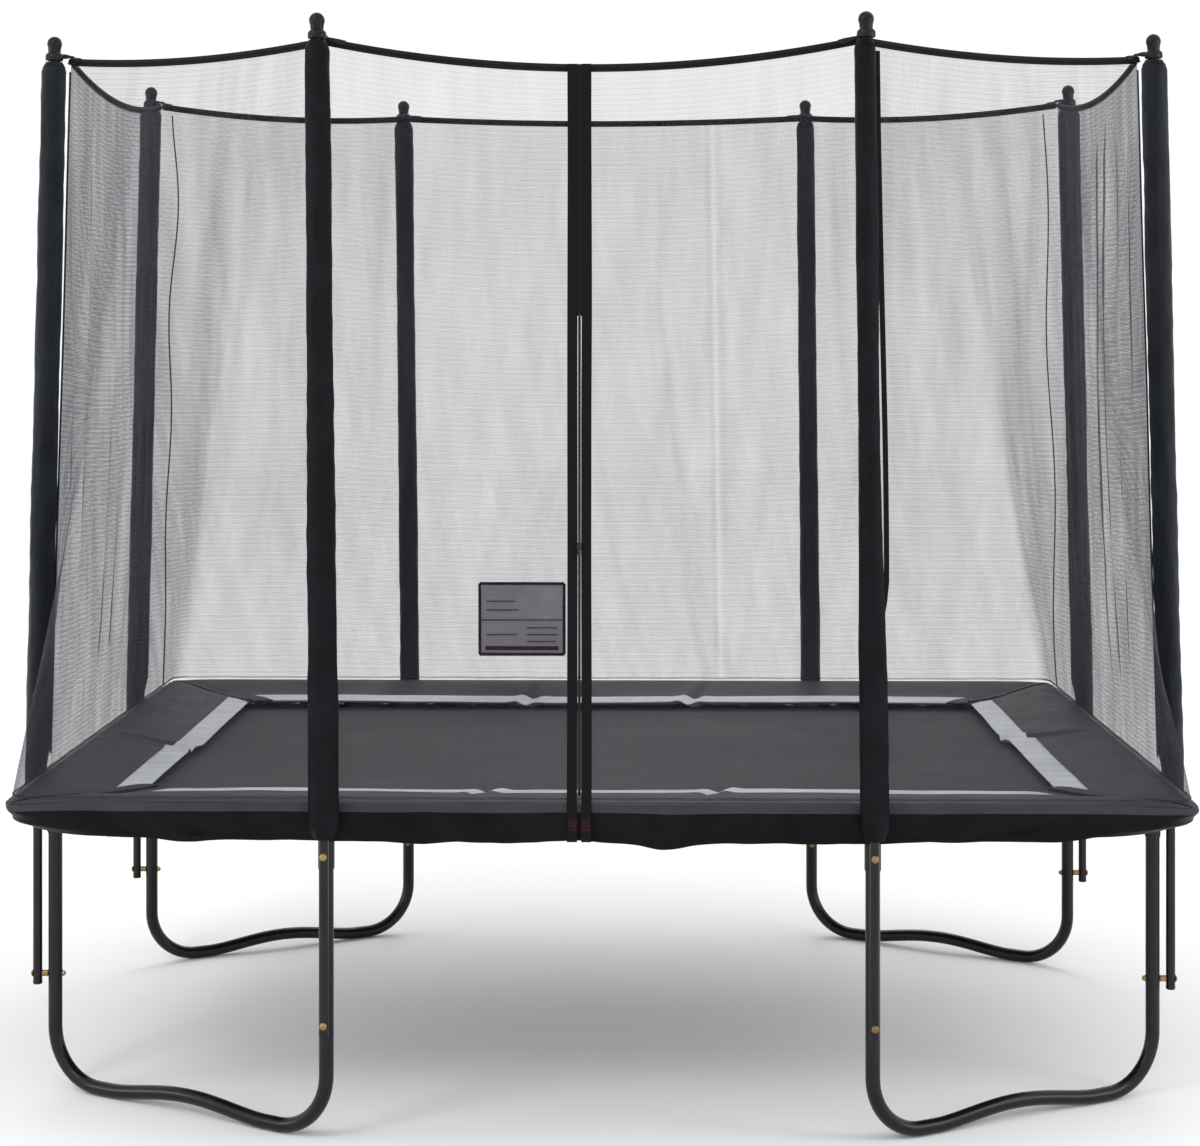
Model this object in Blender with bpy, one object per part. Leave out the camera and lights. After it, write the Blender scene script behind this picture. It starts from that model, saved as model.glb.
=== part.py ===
"""Rectangular garden trampoline, 3.05 x 2.13 m (10 x 7 ft), with an enclosure net.

Metres, +Z up. Origin on the ground under the middle of the frame; +X runs
along the long side, the door is in the long side at -Y. Four U legs stand
across the corners of a sectional tube frame, eight padded poles are bolted
outside the leg uprights, and the net hangs from a cord through their caps.
"""

import math

import bmesh
import bpy
from mathutils import Vector

# ---------------------------------------------------------------- dimensions
FRAME_LENGTH = 3.05        # outside of the top frame, along X
FRAME_WIDTH = 2.13         # outside of the top frame, along Y
TUBE_RADIUS = 0.019        # 38 mm frame and leg tube
TUBE_WALL = 0.0015
FRAME_CORNER_RADIUS = 0.15
FRAME_AXIS_Z = 0.832       # height of the top frame's centre line

LEG_X = 0.700              # uprights on the long sides
LEG_Y = 0.625              # uprights on the short sides
LEG_BEND_RADIUS = 0.150
LEG_RAIL_BOW = 0.026       # the middle of the bottom rail clears the ground
LEG_FOOT_LENGTH = 0.070    # level stretch that touches the ground at each bend
LEG_TOP_Z = 0.806
SOCKET_RADIUS = 0.0215
SOCKET_INNER_RADIUS = 0.0200
SOCKET_BOTTOM_Z = 0.700
CORNER_OVERRUN = 0.085     # corner section runs this far past each socket

POLE_RADIUS = 0.0125       # 25 mm net pole
POLE_WALL = 0.0015
POLE_OFFSET = 0.0300       # pole axis outside the frame's outer edge
POLE_BOTTOM_Z = 0.285
POLE_BEND_Z = 0.886
POLE_TOP_Z = 2.834
LONG_SIDE_LEAN = 0.020     # inward lean of the long sides' poles at the top
SHORT_SIDE_LEAN = 0.047    # inward lean of the short sides' poles at the top
SIDEWAYS_LEAN = 0.020      # all eight are drawn a little towards -X by the cord

SLEEVE_RADIUS = 0.032      # foam tube under its cover
SLEEVE_BORE = 0.0131
SLEEVE_LOW_RADIUS = 0.021  # pressed thin where it passes the pad and its skirt
SLEEVE_BOTTOM_Z = 0.785
SLEEVE_NECK_Z = 0.893      # full thickness starts here
SLEEVE_TOP_Z = 2.822

BALL_RADIUS = 0.021
BALL_Z = 2.872
HOOK_REACH = 0.047         # cord axis inside the pole axis

BOLT_RADIUS = 0.0038
BOLT_HOLE_RADIUS = 0.0043
BOLT_Z = 0.312

PAD_TOP_Z = 0.877
PAD_INNER_TOP_Z = 0.850
PAD_WIDTH = 0.318          # from the frame's outer edge to the pad's inner edge
PAD_THICKNESS = 0.020
PAD_OVERHANG = 0.008
SKIRT_THICKNESS = 0.0045
SKIRT_BOTTOM_Z = 0.782
MITRE_GAP = 0.0008

MAT_INSET = 0.215          # mat edge inside the frame's outer edge
MAT_Z = 0.818
MAT_THICKNESS = 0.004
SPRING_WIDTH = 0.014
SPRING_THICKNESS = 0.010
SPRINGS_LONG = 17
SPRINGS_SHORT = 11
WEBBING_WIDTH = 0.012      # strip along the mat's edge that all hooks of a row share

CORD_RADIUS = 0.006
CORD_Z = 2.829
CORD_SAG_FRONT = 0.070
CORD_SAG_SIDE = 0.055
CORD_SAG_BACK = 0.018
CORD_SAG_CORNER = 0.022
NET_THICKNESS = 0.002
NET_HANG = 0.0180          # net's top edge below the cord's axis, clear of the hooks
NET_BOTTOM_Z = 0.8795
NET_EDGE = 0.006           # net's foot inside the frame's outer edge line

DOOR_X = -0.050
DOOR_WIDTH = 0.064
DOOR_THICKNESS = 0.004
DOOR_BOTTOM_Z = 0.900
DOOR_TOP_Z = 2.735
SLIDER_Z = 1.523
SLIDER_SIZE = (0.016, 0.010, 0.036)

HALF_L = FRAME_LENGTH / 2
HALF_W = FRAME_WIDTH / 2


# ------------------------------------------------------------------- helpers
def material(name, colour, roughness, metallic=0.0):
    made = bpy.data.materials.new(name)
    made.use_nodes = True
    shader = made.node_tree.nodes["Principled BSDF"]
    shader.inputs["Base Color"].default_value = (*colour, 1.0)
    shader.inputs["Roughness"].default_value = roughness
    shader.inputs["Metallic"].default_value = metallic
    made.diffuse_color = (*colour, 1.0)
    return made


def object_of(name, bm, look, parent=None, origin=None):
    bmesh.ops.recalc_face_normals(bm, faces=bm.faces)
    if origin is not None:
        bmesh.ops.translate(bm, vec=-Vector(origin), verts=bm.verts)
    mesh = bpy.data.meshes.new(name)
    bm.to_mesh(mesh)
    bm.free()
    if mesh.polygons and sum_volume(mesh) < 0:
        mesh.flip_normals()
    mesh.materials.append(look)
    mesh.shade_smooth()
    mesh.set_sharp_from_angle(angle=math.radians(40))
    made = bpy.data.objects.new(name, mesh)
    bpy.context.scene.collection.objects.link(made)
    if origin is not None:
        made.location = origin
    if parent is not None:
        made.parent = parent
    return made


def sum_volume(mesh):
    """Signed volume of a closed mesh."""
    total = 0.0
    for polygon in mesh.polygons:
        corners = [mesh.vertices[i].co for i in polygon.vertices]
        for b, c in zip(corners[1:], corners[2:]):
            total += corners[0].dot(b.cross(c))
    return total / 6


def path_frames(points, side=None):
    """Tangent, side and up at each point of a path. A given side keeps a flat path's rings square to its plane."""
    frames = []
    for i, point in enumerate(points):
        before = (point - points[i - 1]).normalized() if i else None
        after = (points[i + 1] - point).normalized() if i + 1 < len(points) else None
        tangent = before if after is None else after if before is None else (before + after).normalized()
        stretch = 1.0
        if before is not None and after is not None:
            stretch = 1.0 / max(0.5, math.cos(before.angle(after) / 2))
        across = side - tangent * side.dot(tangent)
        across.normalize()
        frames.append((tangent, across, across.cross(tangent), stretch))
    return frames


def rings_along(bm, points, radius, sides, side, closed=False, turn=0.5):
    """Rings of vertices round a path, mitred where it bends."""
    rings = []
    count = len(points)
    for i, point in enumerate(points):
        if closed:
            before = (point - points[i - 1]).normalized()
            after = (points[(i + 1) % count] - point).normalized()
        else:
            before = (point - points[i - 1]).normalized() if i else (points[1] - point).normalized()
            after = (points[i + 1] - point).normalized() if i + 1 < count else before
        tangent = (before + after).normalized()
        across = (side - tangent * side.dot(tangent)).normalized()
        up = across.cross(tangent)
        half = before.angle(after, 0.0) / 2
        stretch = 1.0 / math.cos(half)
        bend = after - before
        inward = bend.normalized() if bend.length > 1e-6 else None
        ring = []
        for k in range(sides):
            angle = 2 * math.pi * (k + turn) / sides
            offset = (across * math.cos(angle) + up * math.sin(angle)) * radius
            if inward is not None:
                offset += inward * offset.dot(inward) * (stretch - 1)
            ring.append(bm.verts.new(point + offset))
        rings.append(ring)
    return rings


def skin(bm, rings, closed=False):
    count = len(rings)
    for i in range(count if closed else count - 1):
        a, b = rings[i], rings[(i + 1) % count]
        for k in range(len(a)):
            m = (k + 1) % len(a)
            bm.faces.new((a[k], a[m], b[m], b[k]))


def pipe(points, radius, bore, sides=10, side=Vector((0, 0, 1)), turn=0.5):
    """Open-ended tube with a wall, swept along a path."""
    bm = bmesh.new()
    outer = rings_along(bm, points, radius, sides, side, turn=turn)
    inner = rings_along(bm, points, bore, sides, side, turn=turn)
    skin(bm, outer)
    skin(bm, inner)
    for a, b in ((outer[0], inner[0]), (outer[-1], inner[-1])):
        for k in range(sides):
            m = (k + 1) % sides
            bm.faces.new((a[k], a[m], b[m], b[k]))
    return bm


def rod(points, radius, sides=10, side=Vector((0, 0, 1)), turn=0.5):
    """Solid round bar along a path."""
    bm = bmesh.new()
    rings = rings_along(bm, points, radius, sides, side, turn=turn)
    skin(bm, rings)
    bm.faces.new(rings[0])
    bm.faces.new(rings[-1])
    return bm


def prism(outline, extrude):
    """Solid from a flat outline of points, extruded by a vector."""
    bm = bmesh.new()
    low = [bm.verts.new(p) for p in outline]
    high = [bm.verts.new(Vector(p) + extrude) for p in outline]
    bm.faces.new(low)
    bm.faces.new(high)
    for k in range(len(low)):
        m = (k + 1) % len(low)
        bm.faces.new((low[k], low[m], high[m], high[k]))
    return bm


def boolean(target, tools, operation):
    """Applies a Boolean of each tool to the target, and removes the tool."""
    for tool in tools:
        modifier = target.modifiers.new(operation.lower(), "BOOLEAN")
        modifier.operation = operation
        modifier.solver = "EXACT"
        modifier.object = tool
        bpy.context.view_layer.update()
        graph = bpy.context.evaluated_depsgraph_get()
        mesh = bpy.data.meshes.new_from_object(target.evaluated_get(graph))
        target.modifiers.clear()
        target.data = mesh
        bpy.data.objects.remove(tool)
    target.data.shade_smooth()
    target.data.set_sharp_from_angle(angle=math.radians(40))


def arc(centre, start, end, steps):
    """Points of a circular arc between two points about its centre."""
    a, b = start - centre, end - centre
    normal = a.cross(b).normalized()
    total = a.angle(b)
    points = []
    for i in range(steps + 1):
        t = total * i / steps
        points.append(centre + a * math.cos(t) + normal.cross(a) * math.sin(t))
    return points


# ------------------------------------------------------------------- layout
SIDES = ("front", "back", "left", "right")
CORNERS = (("front_left", -1, -1), ("front_right", 1, -1), ("back_left", -1, 1), ("back_right", 1, 1))
# name, x, y of the frame edge there, outward direction
STATIONS = (
    ("front_left", Vector((-LEG_X, -HALF_W, 0)), Vector((0, -1, 0))),
    ("front_right", Vector((LEG_X, -HALF_W, 0)), Vector((0, -1, 0))),
    ("right_front", Vector((HALF_L, -LEG_Y, 0)), Vector((1, 0, 0))),
    ("right_back", Vector((HALF_L, LEG_Y, 0)), Vector((1, 0, 0))),
    ("back_right", Vector((LEG_X, HALF_W, 0)), Vector((0, 1, 0))),
    ("back_left", Vector((-LEG_X, HALF_W, 0)), Vector((0, 1, 0))),
    ("left_back", Vector((-HALF_L, LEG_Y, 0)), Vector((-1, 0, 0))),
    ("left_front", Vector((-HALF_L, -LEG_Y, 0)), Vector((-1, 0, 0))),
)


def pole_axis(edge, outward):
    """(bottom, bend, function of height on the leaning stretch)"""
    base = edge + outward * POLE_OFFSET
    lean = SHORT_SIDE_LEAN if abs(outward.x) > 0.5 else LONG_SIDE_LEAN
    drift = 0.0 if abs(outward.x) > 0.5 else SIDEWAYS_LEAN
    foot = Vector((base.x, base.y, POLE_BEND_Z))
    head = Vector((base.x, base.y, BALL_Z)) - outward * lean - Vector((drift, 0, 0))

    def at(z):
        return foot.lerp(head, (z - POLE_BEND_Z) / (BALL_Z - POLE_BEND_Z))

    return Vector((base.x, base.y, POLE_BOTTOM_Z)), foot, at


def hook_way(i):
    """Level direction of a cap's hook: halfway between the ways to its two neighbours."""
    here, before, after = (pole_axis(*STATIONS[k % len(STATIONS)][1:])[2](CORD_Z) for k in (i, i - 1, i + 1))
    return ((before - here).normalized() + (after - here).normalized()).normalized()


def hook_point(i):
    """Where the cord crosses the cap's hook."""
    return pole_axis(*STATIONS[i][1:])[2](CORD_Z) + hook_way(i) * HOOK_REACH


def clear_scene():
    for old in list(bpy.data.objects):
        bpy.data.objects.remove(old)


# -------------------------------------------------------------------- frame
def frame_corner(name, sx, sy, look, parent):
    """Corner of the top frame: a bent tube with a leg socket under each arm."""
    x, y, r = HALF_L - TUBE_RADIUS, HALF_W - TUBE_RADIUS, FRAME_CORNER_RADIUS
    z = FRAME_AXIS_Z
    start = Vector((sx * (LEG_X - CORNER_OVERRUN), sy * y, z))
    end = Vector((sx * x, sy * (LEG_Y - CORNER_OVERRUN), z))
    bend = arc(Vector((sx * (x - r), sy * (y - r), z)), Vector((sx * (x - r), sy * y, z)), Vector((sx * x, sy * (y - r), z)), 5)
    made = object_of(name, pipe([start, *bend, end], TUBE_RADIUS, TUBE_RADIUS - TUBE_WALL), look, parent)
    sockets = []
    for spot in (Vector((sx * LEG_X, sy * y, 0)), Vector((sx * x, sy * LEG_Y, 0))):
        run = [spot + Vector((0, 0, SOCKET_BOTTOM_Z)), spot + Vector((0, 0, z - 0.004))]
        sockets.append(object_of("socket", pipe(run, SOCKET_RADIUS, SOCKET_INNER_RADIUS, 12, Vector((1, 0, 0))), look))
    boolean(made, sockets, "UNION")
    return made


def frame_rail(name, along, look, parent):
    """Straight rail between two corner sections, butted into them."""
    gap = 0.0004
    if along == "x":
        half = LEG_X - CORNER_OVERRUN - gap
        y = (HALF_W - TUBE_RADIUS) * (-1 if name.endswith("front") else 1)
        run = [Vector((-half, y, FRAME_AXIS_Z)), Vector((half, y, FRAME_AXIS_Z))]
    else:
        half = LEG_Y - CORNER_OVERRUN - gap
        x = (HALF_L - TUBE_RADIUS) * (-1 if name.endswith("left") else 1)
        run = [Vector((x, -half, FRAME_AXIS_Z)), Vector((x, half, FRAME_AXIS_Z))]
    return object_of(name, pipe(run, TUBE_RADIUS, TUBE_RADIUS - TUBE_WALL), look, parent)


# --------------------------------------------------------------------- legs
def leg(name, sx, sy, look, parent):
    """U of bent tube across one corner, standing on its two bends."""
    sides = 10
    flat = TUBE_RADIUS * math.cos(math.pi / sides)
    a = Vector((sx * LEG_X, sy * (HALF_W - TUBE_RADIUS), 0))
    b = Vector((sx * (HALF_L - TUBE_RADIUS), sy * LEG_Y, 0))
    along = (b - a).normalized()
    span = (b - a).length
    up = Vector((0, 0, 1))
    r = LEG_BEND_RADIUS
    low = up * flat

    def half(start, way):
        centre = start + way * r + up * (r + flat)
        bend = arc(centre, start + up * (r + flat), start + way * r + low, 5)
        return [start + up * LEG_TOP_Z, *bend, start + way * (r + LEG_FOOT_LENGTH) + low]

    first = half(a, along)
    last = half(b, -along)[::-1]
    rise = up * LEG_RAIL_BOW
    quarter = up * LEG_RAIL_BOW * 0.8
    middle = [a + along * span * 0.38 + low + quarter, a + along * span * 0.5 + low + rise, a + along * span * 0.62 + low + quarter]
    across = along.cross(up).normalized()
    made = object_of(name, pipe([*first, *middle, *last], TUBE_RADIUS, TUBE_RADIUS - TUBE_WALL, sides, across, turn=0), look, parent)
    holes = []
    for edge, outward in ((a, Vector((0, sy, 0))), (b, Vector((sx, 0, 0)))):
        run = [edge - outward * 0.04 + up * BOLT_Z, edge + outward * 0.04 + up * BOLT_Z]
        holes.append(object_of("hole", rod(run, BOLT_HOLE_RADIUS, 8), look))
    boolean(made, holes, "DIFFERENCE")
    return made


# -------------------------------------------------------------------- poles
def pole(name, edge, outward, look, parent):
    bottom, foot, at = pole_axis(edge, outward)
    across = outward.cross(Vector((0, 0, 1)))
    made = object_of(name, pipe([bottom, foot, at(POLE_TOP_Z)], POLE_RADIUS, POLE_RADIUS - POLE_WALL, 8, across), look, parent)
    middle = Vector((bottom.x, bottom.y, BOLT_Z))
    run = [middle - outward * 0.03, middle + outward * 0.03]
    boolean(made, [object_of("hole", rod(run, BOLT_HOLE_RADIUS, 8), look)], "DIFFERENCE")
    return made


def sleeve(name, edge, outward, look, parent):
    """Foam tube on the pole, from the skirt's lower edge up to the cap."""
    leaning = pole_axis(edge, outward)[2]
    across = outward.cross(Vector((0, 0, 1)))

    def at(z):
        foot = leaning(max(z, POLE_BEND_Z))
        return Vector((foot.x, foot.y, z))

    run = [at(z) for z in (SLEEVE_BOTTOM_Z, POLE_BEND_Z, SLEEVE_NECK_Z + 0.004, SLEEVE_NECK_Z + 0.6, SLEEVE_TOP_Z - 0.5, SLEEVE_TOP_Z)]
    bm = pipe(run, SLEEVE_RADIUS, SLEEVE_BORE + 0.0006, 10, across)
    for vert in bm.verts:
        offset = vert.co - at(vert.co.z)
        if vert.co.z < (POLE_BEND_Z + SLEEVE_NECK_Z) / 2 and offset.length > (SLEEVE_BORE + SLEEVE_RADIUS) / 2:
            vert.co -= offset * (1 - SLEEVE_LOW_RADIUS / SLEEVE_RADIUS)
    return object_of(name, bm, look, parent)


def cap(i, look, parent):
    """Ball cap: a stem in the pole, a collar on its end, a ball, and a hook arm for the cord."""
    name, edge, outward = STATIONS[i]
    name = f"pole_cap_{name}"
    at = pole_axis(edge, outward)[2]
    across = outward.cross(Vector((0, 0, 1)))
    up = (at(BALL_Z) - at(POLE_TOP_Z)).normalized()
    base = at(POLE_TOP_Z) + up * 0.0004
    profile = [(0.0, -0.030), (0.0085, -0.030), (0.0095, -0.024), (0.0095, 0.0), (0.0148, 0.0), (0.0148, 0.010), (0.0110, 0.013)]
    centre = (at(BALL_Z) - base).length
    low = -math.acos(min(1.0, 0.011 / BALL_RADIUS))
    for step in range(6):
        angle = low + (math.pi / 2 - low) * step / 5
        profile.append((BALL_RADIUS * math.cos(angle) if step < 5 else 0.0, centre + BALL_RADIUS * math.sin(angle)))
    bm = bmesh.new()
    sides = 10
    rings = []
    for radius, height in profile:
        if radius == 0.0:
            rings.append([bm.verts.new(base + up * height)])
            continue
        second = across.cross(up).normalized()
        first = second.cross(up)
        rings.append([bm.verts.new(base + up * height + (first * math.cos(2 * math.pi * k / sides) + second * math.sin(2 * math.pi * k / sides)) * radius) for k in range(sides)])
    for a, b in zip(rings, rings[1:]):
        for k in range(sides):
            m = (k + 1) % sides
            if len(a) == 1:
                bm.faces.new((a[0], b[k], b[m]))
            elif len(b) == 1:
                bm.faces.new((a[k], b[0], a[m]))
            else:
                bm.faces.new((a[k], a[m], b[m], b[k]))
    made = object_of(name, bm, look, parent)
    # Hook arm: runs inward from the collar over the cord, then turns down outside it and under it.
    cord = hook_point(i)
    inward = hook_way(i)
    across = inward.cross(Vector((0, 0, 1)))
    wide = 0.0050
    thick = 0.0045
    u0 = -(HOOK_REACH - 0.006)
    under = -(CORD_RADIUS + 0.0034)
    top = CORD_RADIUS + 0.0012
    web = CORD_RADIUS + 0.0062
    outline = [
        (u0, top), (u0, top + thick), (web + thick, top + thick), (web + thick, under - thick),
        (-0.004, under - thick), (-0.004, under), (web, under), (web, top),
    ]
    points = [cord + inward * u + Vector((0, 0, v)) - across * wide for u, v in outline]
    boolean(made, [object_of("arm", prism(points, across * 2 * wide), look)], "UNION")
    return made


def bolt(name, edge, outward, look, parent):
    """Through-bolt with its head on the pole, a spacer between pole and leg, and a nut behind the leg."""
    axis = Vector((edge.x, edge.y, BOLT_Z))
    pole_u = POLE_OFFSET
    leg_u = -TUBE_RADIUS
    gap = 0.0004
    head = pole_u + POLE_RADIUS + gap
    stations = [
        (leg_u - TUBE_RADIUS - gap - 0.010, BOLT_RADIUS), (leg_u - TUBE_RADIUS - gap - 0.006, BOLT_RADIUS),
        (leg_u - TUBE_RADIUS - gap - 0.006, 0.0075), (leg_u - TUBE_RADIUS - gap, 0.0075),
        (leg_u - TUBE_RADIUS - gap, BOLT_RADIUS), (gap, BOLT_RADIUS),
        (gap, 0.0085), (pole_u - POLE_RADIUS - gap, 0.0085),
        (pole_u - POLE_RADIUS - gap, BOLT_RADIUS), (head, BOLT_RADIUS),
        (head, 0.0085), (head + 0.003, 0.0080), (head + 0.0055, 0.0045),
    ]
    bm = bmesh.new()
    across = outward.cross(Vector((0, 0, 1)))
    up = Vector((0, 0, 1))
    sides = 8
    rings = []
    for u, radius in stations:
        rings.append([bm.verts.new(axis + outward * u + (across * math.cos(2 * math.pi * (k + 0.5) / sides) + up * math.sin(2 * math.pi * (k + 0.5) / sides)) * radius) for k in range(sides)])
    skin(bm, rings)
    bm.faces.new(rings[0])
    bm.faces.new(rings[-1])
    return object_of(name, bm, look, parent)


# ---------------------------------------------------------- mat and springs
def mat(look, parent, origin):
    """Jumping mat with its corners cut off, where no spring pulls."""
    x, y = HALF_L - MAT_INSET, HALF_W - MAT_INSET
    cut = 0.055
    outline = []
    for sx, sy, first in ((-1, -1, False), (1, -1, True), (1, 1, False), (-1, 1, True)):
        pair = [Vector((sx * (x - cut), sy * y, MAT_Z - MAT_THICKNESS / 2)), Vector((sx * x, sy * (y - cut), MAT_Z - MAT_THICKNESS / 2))]
        outline += pair if first else pair[::-1]
    return object_of("jump_mat", prism(outline, Vector((0, 0, MAT_THICKNESS))), look, parent, origin)


def spring_row(side, look, parent):
    """One side's springs, hooked on one strip of webbing at the mat's edge."""
    gap = 0.0008
    if side in ("front", "back"):
        count, half_run = SPRINGS_LONG, HALF_L - MAT_INSET - 0.090
        mat_edge, rail = HALF_W - MAT_INSET, HALF_W - 2 * TUBE_RADIUS
    else:
        count, half_run = SPRINGS_SHORT, HALF_W - MAT_INSET - 0.090
        mat_edge, rail = HALF_L - MAT_INSET, HALF_L - 2 * TUBE_RADIUS
    near, far = mat_edge + gap, rail - 0.0045
    strip = near + WEBBING_WIDTH
    half = SPRING_WIDTH / 2
    outline = [(-half_run - half, near)]
    for i in range(count):
        u = -half_run + 2 * half_run * i / (count - 1)
        outline += [(u - half, strip), (u - half, far), (u + half, far), (u + half, strip)]
    outline += [(half_run + half, near)]
    outline = [p for i, p in enumerate(outline) if not (i in (1, len(outline) - 2))]
    z = MAT_Z - SPRING_THICKNESS / 2 + 0.004
    turned = {"front": lambda u, v: (u, -v), "back": lambda u, v: (u, v), "left": lambda u, v: (-v, u), "right": lambda u, v: (v, u)}[side]
    points = [Vector((*turned(u, v), z)) for u, v in outline]
    return object_of(f"spring_row_{side}", prism(points, Vector((0, 0, SPRING_THICKNESS))), look, parent)


def pad(side, look, parent):
    """Spring cover: sloping foam pad with a skirt down its outer edge, mitred at the corners."""
    if side in ("front", "back"):
        half_run, edge = HALF_L, HALF_W
    else:
        half_run, edge = HALF_W, HALF_L
    out = PAD_OVERHANG
    inner = -PAD_WIDTH
    section = [
        (out, PAD_TOP_Z - 0.004), (out - 0.006, PAD_TOP_Z), (-0.03, PAD_TOP_Z), (inner + 0.006, PAD_INNER_TOP_Z), (inner, PAD_INNER_TOP_Z - 0.006),
        (inner, PAD_INNER_TOP_Z - PAD_THICKNESS + 0.004), (inner + 0.006, PAD_INNER_TOP_Z - PAD_THICKNESS),
        (-0.045, PAD_TOP_Z - PAD_THICKNESS), (out - SKIRT_THICKNESS, PAD_TOP_Z - PAD_THICKNESS),
        (out - SKIRT_THICKNESS, SKIRT_BOTTOM_Z), (out, SKIRT_BOTTOM_Z),
    ]
    bm = bmesh.new()
    ends = []
    turned = {"front": lambda u, v: (u, -v), "back": lambda u, v: (u, v), "left": lambda u, v: (-v, u), "right": lambda u, v: (v, u)}[side]
    for way in (-1, 0, 1):
        ring = []
        for v, z in section:
            u = way * (half_run + v - MITRE_GAP)
            ring.append(bm.verts.new(Vector((*turned(u, edge + v), z))))
        ends.append(ring)
    skin(bm, ends)
    bm.faces.new(ends[0])
    bm.faces.new(ends[-1])
    return object_of(f"pad_{side}", bm, look, parent)


# ------------------------------------------------------------ net and cord
def cord_sag(first, second):
    key = {first.split("_")[0], second.split("_")[0]}
    if key == {"front"}:
        return CORD_SAG_FRONT
    if key == {"back"}:
        return CORD_SAG_BACK
    return CORD_SAG_SIDE if len(key) == 1 else CORD_SAG_CORNER


def cord_span(i, steps):
    """Points of the cord between two neighbouring hooks, its end left out. It hangs in a shallow parabola."""
    name_a, name_b = STATIONS[i][0], STATIONS[(i + 1) % len(STATIONS)][0]
    a, b = hook_point(i), hook_point((i + 1) % len(STATIONS))
    sag = cord_sag(name_a, name_b)
    return [a.lerp(b, k / steps) - Vector((0, 0, 4 * sag * (k / steps) * (1 - k / steps))) for k in range(steps)]


def top_cord(look, parent):
    points = []
    for i in range(len(STATIONS)):
        points += cord_span(i, 6)
    bm = bmesh.new()
    rings = rings_along(bm, points, CORD_RADIUS, 6, Vector((0, 0, 1)), closed=True)
    skin(bm, rings, closed=True)
    return object_of("net_top_cord", bm, look, parent)


def foot_point(u, v):
    """Net's foot line: the frame's outline, pulled in by NET_EDGE."""
    return Vector((u * (HALF_L - NET_EDGE), v * (HALF_W - NET_EDGE), NET_BOTTOM_Z))


def net_columns(first, last):
    """(foot, head) pairs from one station to another, the corner's foot running out to the frame's corner."""
    x, y, r = HALF_L - NET_EDGE, HALF_W - NET_EDGE, 0.10
    columns = []
    i = first
    while i != last:
        name_a, edge_a, out_a = STATIONS[i]
        name_b, edge_b, out_b = STATIONS[(i + 1) % len(STATIONS)]
        corner = name_a.split("_")[0] != name_b.split("_")[0]
        steps = 6
        heads = cord_span(i, steps) + [cord_span((i + 1) % len(STATIONS), 1)[0]]

        def foot_of(edge, outward):
            return Vector((edge.x, edge.y, NET_BOTTOM_Z)) - outward * NET_EDGE

        a, b = foot_of(edge_a, out_a), foot_of(edge_b, out_b)
        if corner:
            sx, sy = math.copysign(1, edge_a.x + edge_b.x), math.copysign(1, edge_a.y + edge_b.y)
            centre = Vector((sx * (x - r), sy * (y - r), NET_BOTTOM_Z))
            long_arm = Vector((sx * (x - r), sy * y, NET_BOTTOM_Z))
            short_arm = Vector((sx * x, sy * (y - r), NET_BOTTOM_Z))
            bend = arc(centre, long_arm, short_arm, 2)
            if abs(out_a.x) > 0.5:
                bend = bend[::-1]
            feet = [a, a.lerp(bend[0], 0.55), bend[0], bend[1], bend[2], bend[2].lerp(b, 0.45), b]
        else:
            feet = [a.lerp(b, k / steps) for k in range(steps + 1)]
        for k in range(steps):
            columns.append((feet[k], heads[k]))
        i = (i + 1) % len(STATIONS)
        end = (feet[-1], heads[-1])
    columns.append(end)
    return columns


def net_panel(name, first, last, look, parent):
    """Net panel as a thin sheet from the pad's outer edge up to the cord."""
    columns = net_columns(first, last)
    rows = 4
    drop = Vector((0, 0, NET_HANG))
    grid = []
    for foot, head in columns:
        line = [foot.lerp(head - drop, j / rows) for j in range(rows + 1)]
        grid.append(line)
    # A gap at both ends keeps neighbouring panels apart.
    for end, beside in ((0, 1), (-1, -2)):
        for j in range(rows + 1):
            way = (grid[beside][j] - grid[end][j]).normalized()
            grid[end][j] = grid[end][j] + way * 0.004
    bm = bmesh.new()
    layers = []
    for shift in (-NET_THICKNESS / 2, NET_THICKNESS / 2):
        layer = []
        for c, line in enumerate(grid):
            before, after = grid[max(c - 1, 0)], grid[min(c + 1, len(grid) - 1)]
            row = []
            for j, point in enumerate(line):
                run = after[j] - before[j]
                normal = Vector((run.y, -run.x, 0)).normalized()
                row.append(bm.verts.new(point + normal * shift))
            layer.append(row)
        layers.append(layer)
    low, high = layers
    count = len(grid)
    for c in range(count - 1):
        for j in range(rows):
            for layer in layers:
                bm.faces.new((layer[c][j], layer[c + 1][j], layer[c + 1][j + 1]))
                bm.faces.new((layer[c][j], layer[c + 1][j + 1], layer[c][j + 1]))
        for j in (0, rows):
            bm.faces.new((low[c][j], low[c + 1][j], high[c + 1][j], high[c][j]))
    for c in (0, count - 1):
        for j in range(rows):
            bm.faces.new((low[c][j], low[c][j + 1], high[c][j + 1], high[c][j]))
    return object_of(name, bm, look, parent)


def front_net_line():
    """Foot and head of the front net's plane at the door, as (foot, unit vector up the net)."""
    foot = Vector((DOOR_X, STATIONS[0][1].y + NET_EDGE, NET_BOTTOM_Z))
    head = hook_point(0)
    run = Vector((0, head.y - foot.y, head.z - NET_HANG - foot.z))
    return foot, run.normalized()


def door_band(look, parent):
    """Webbing over the door's zip, on the outside of the net."""
    foot, up = front_net_line()
    across = Vector((1, 0, 0))
    outward = across.cross(up)
    if outward.y > 0:
        outward = -outward
    def along(z):
        return foot + up * ((z - foot.z) / up.z)
    near = NET_THICKNESS / 2 + 0.0035
    low = along(DOOR_BOTTOM_Z) + outward * near
    high = along(DOOR_TOP_Z) + outward * near
    half = across * DOOR_WIDTH / 2
    outline = [low - half, low + half, high + half, high - half]
    return object_of("door_band", prism(outline, outward * DOOR_THICKNESS), look, parent)


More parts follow.
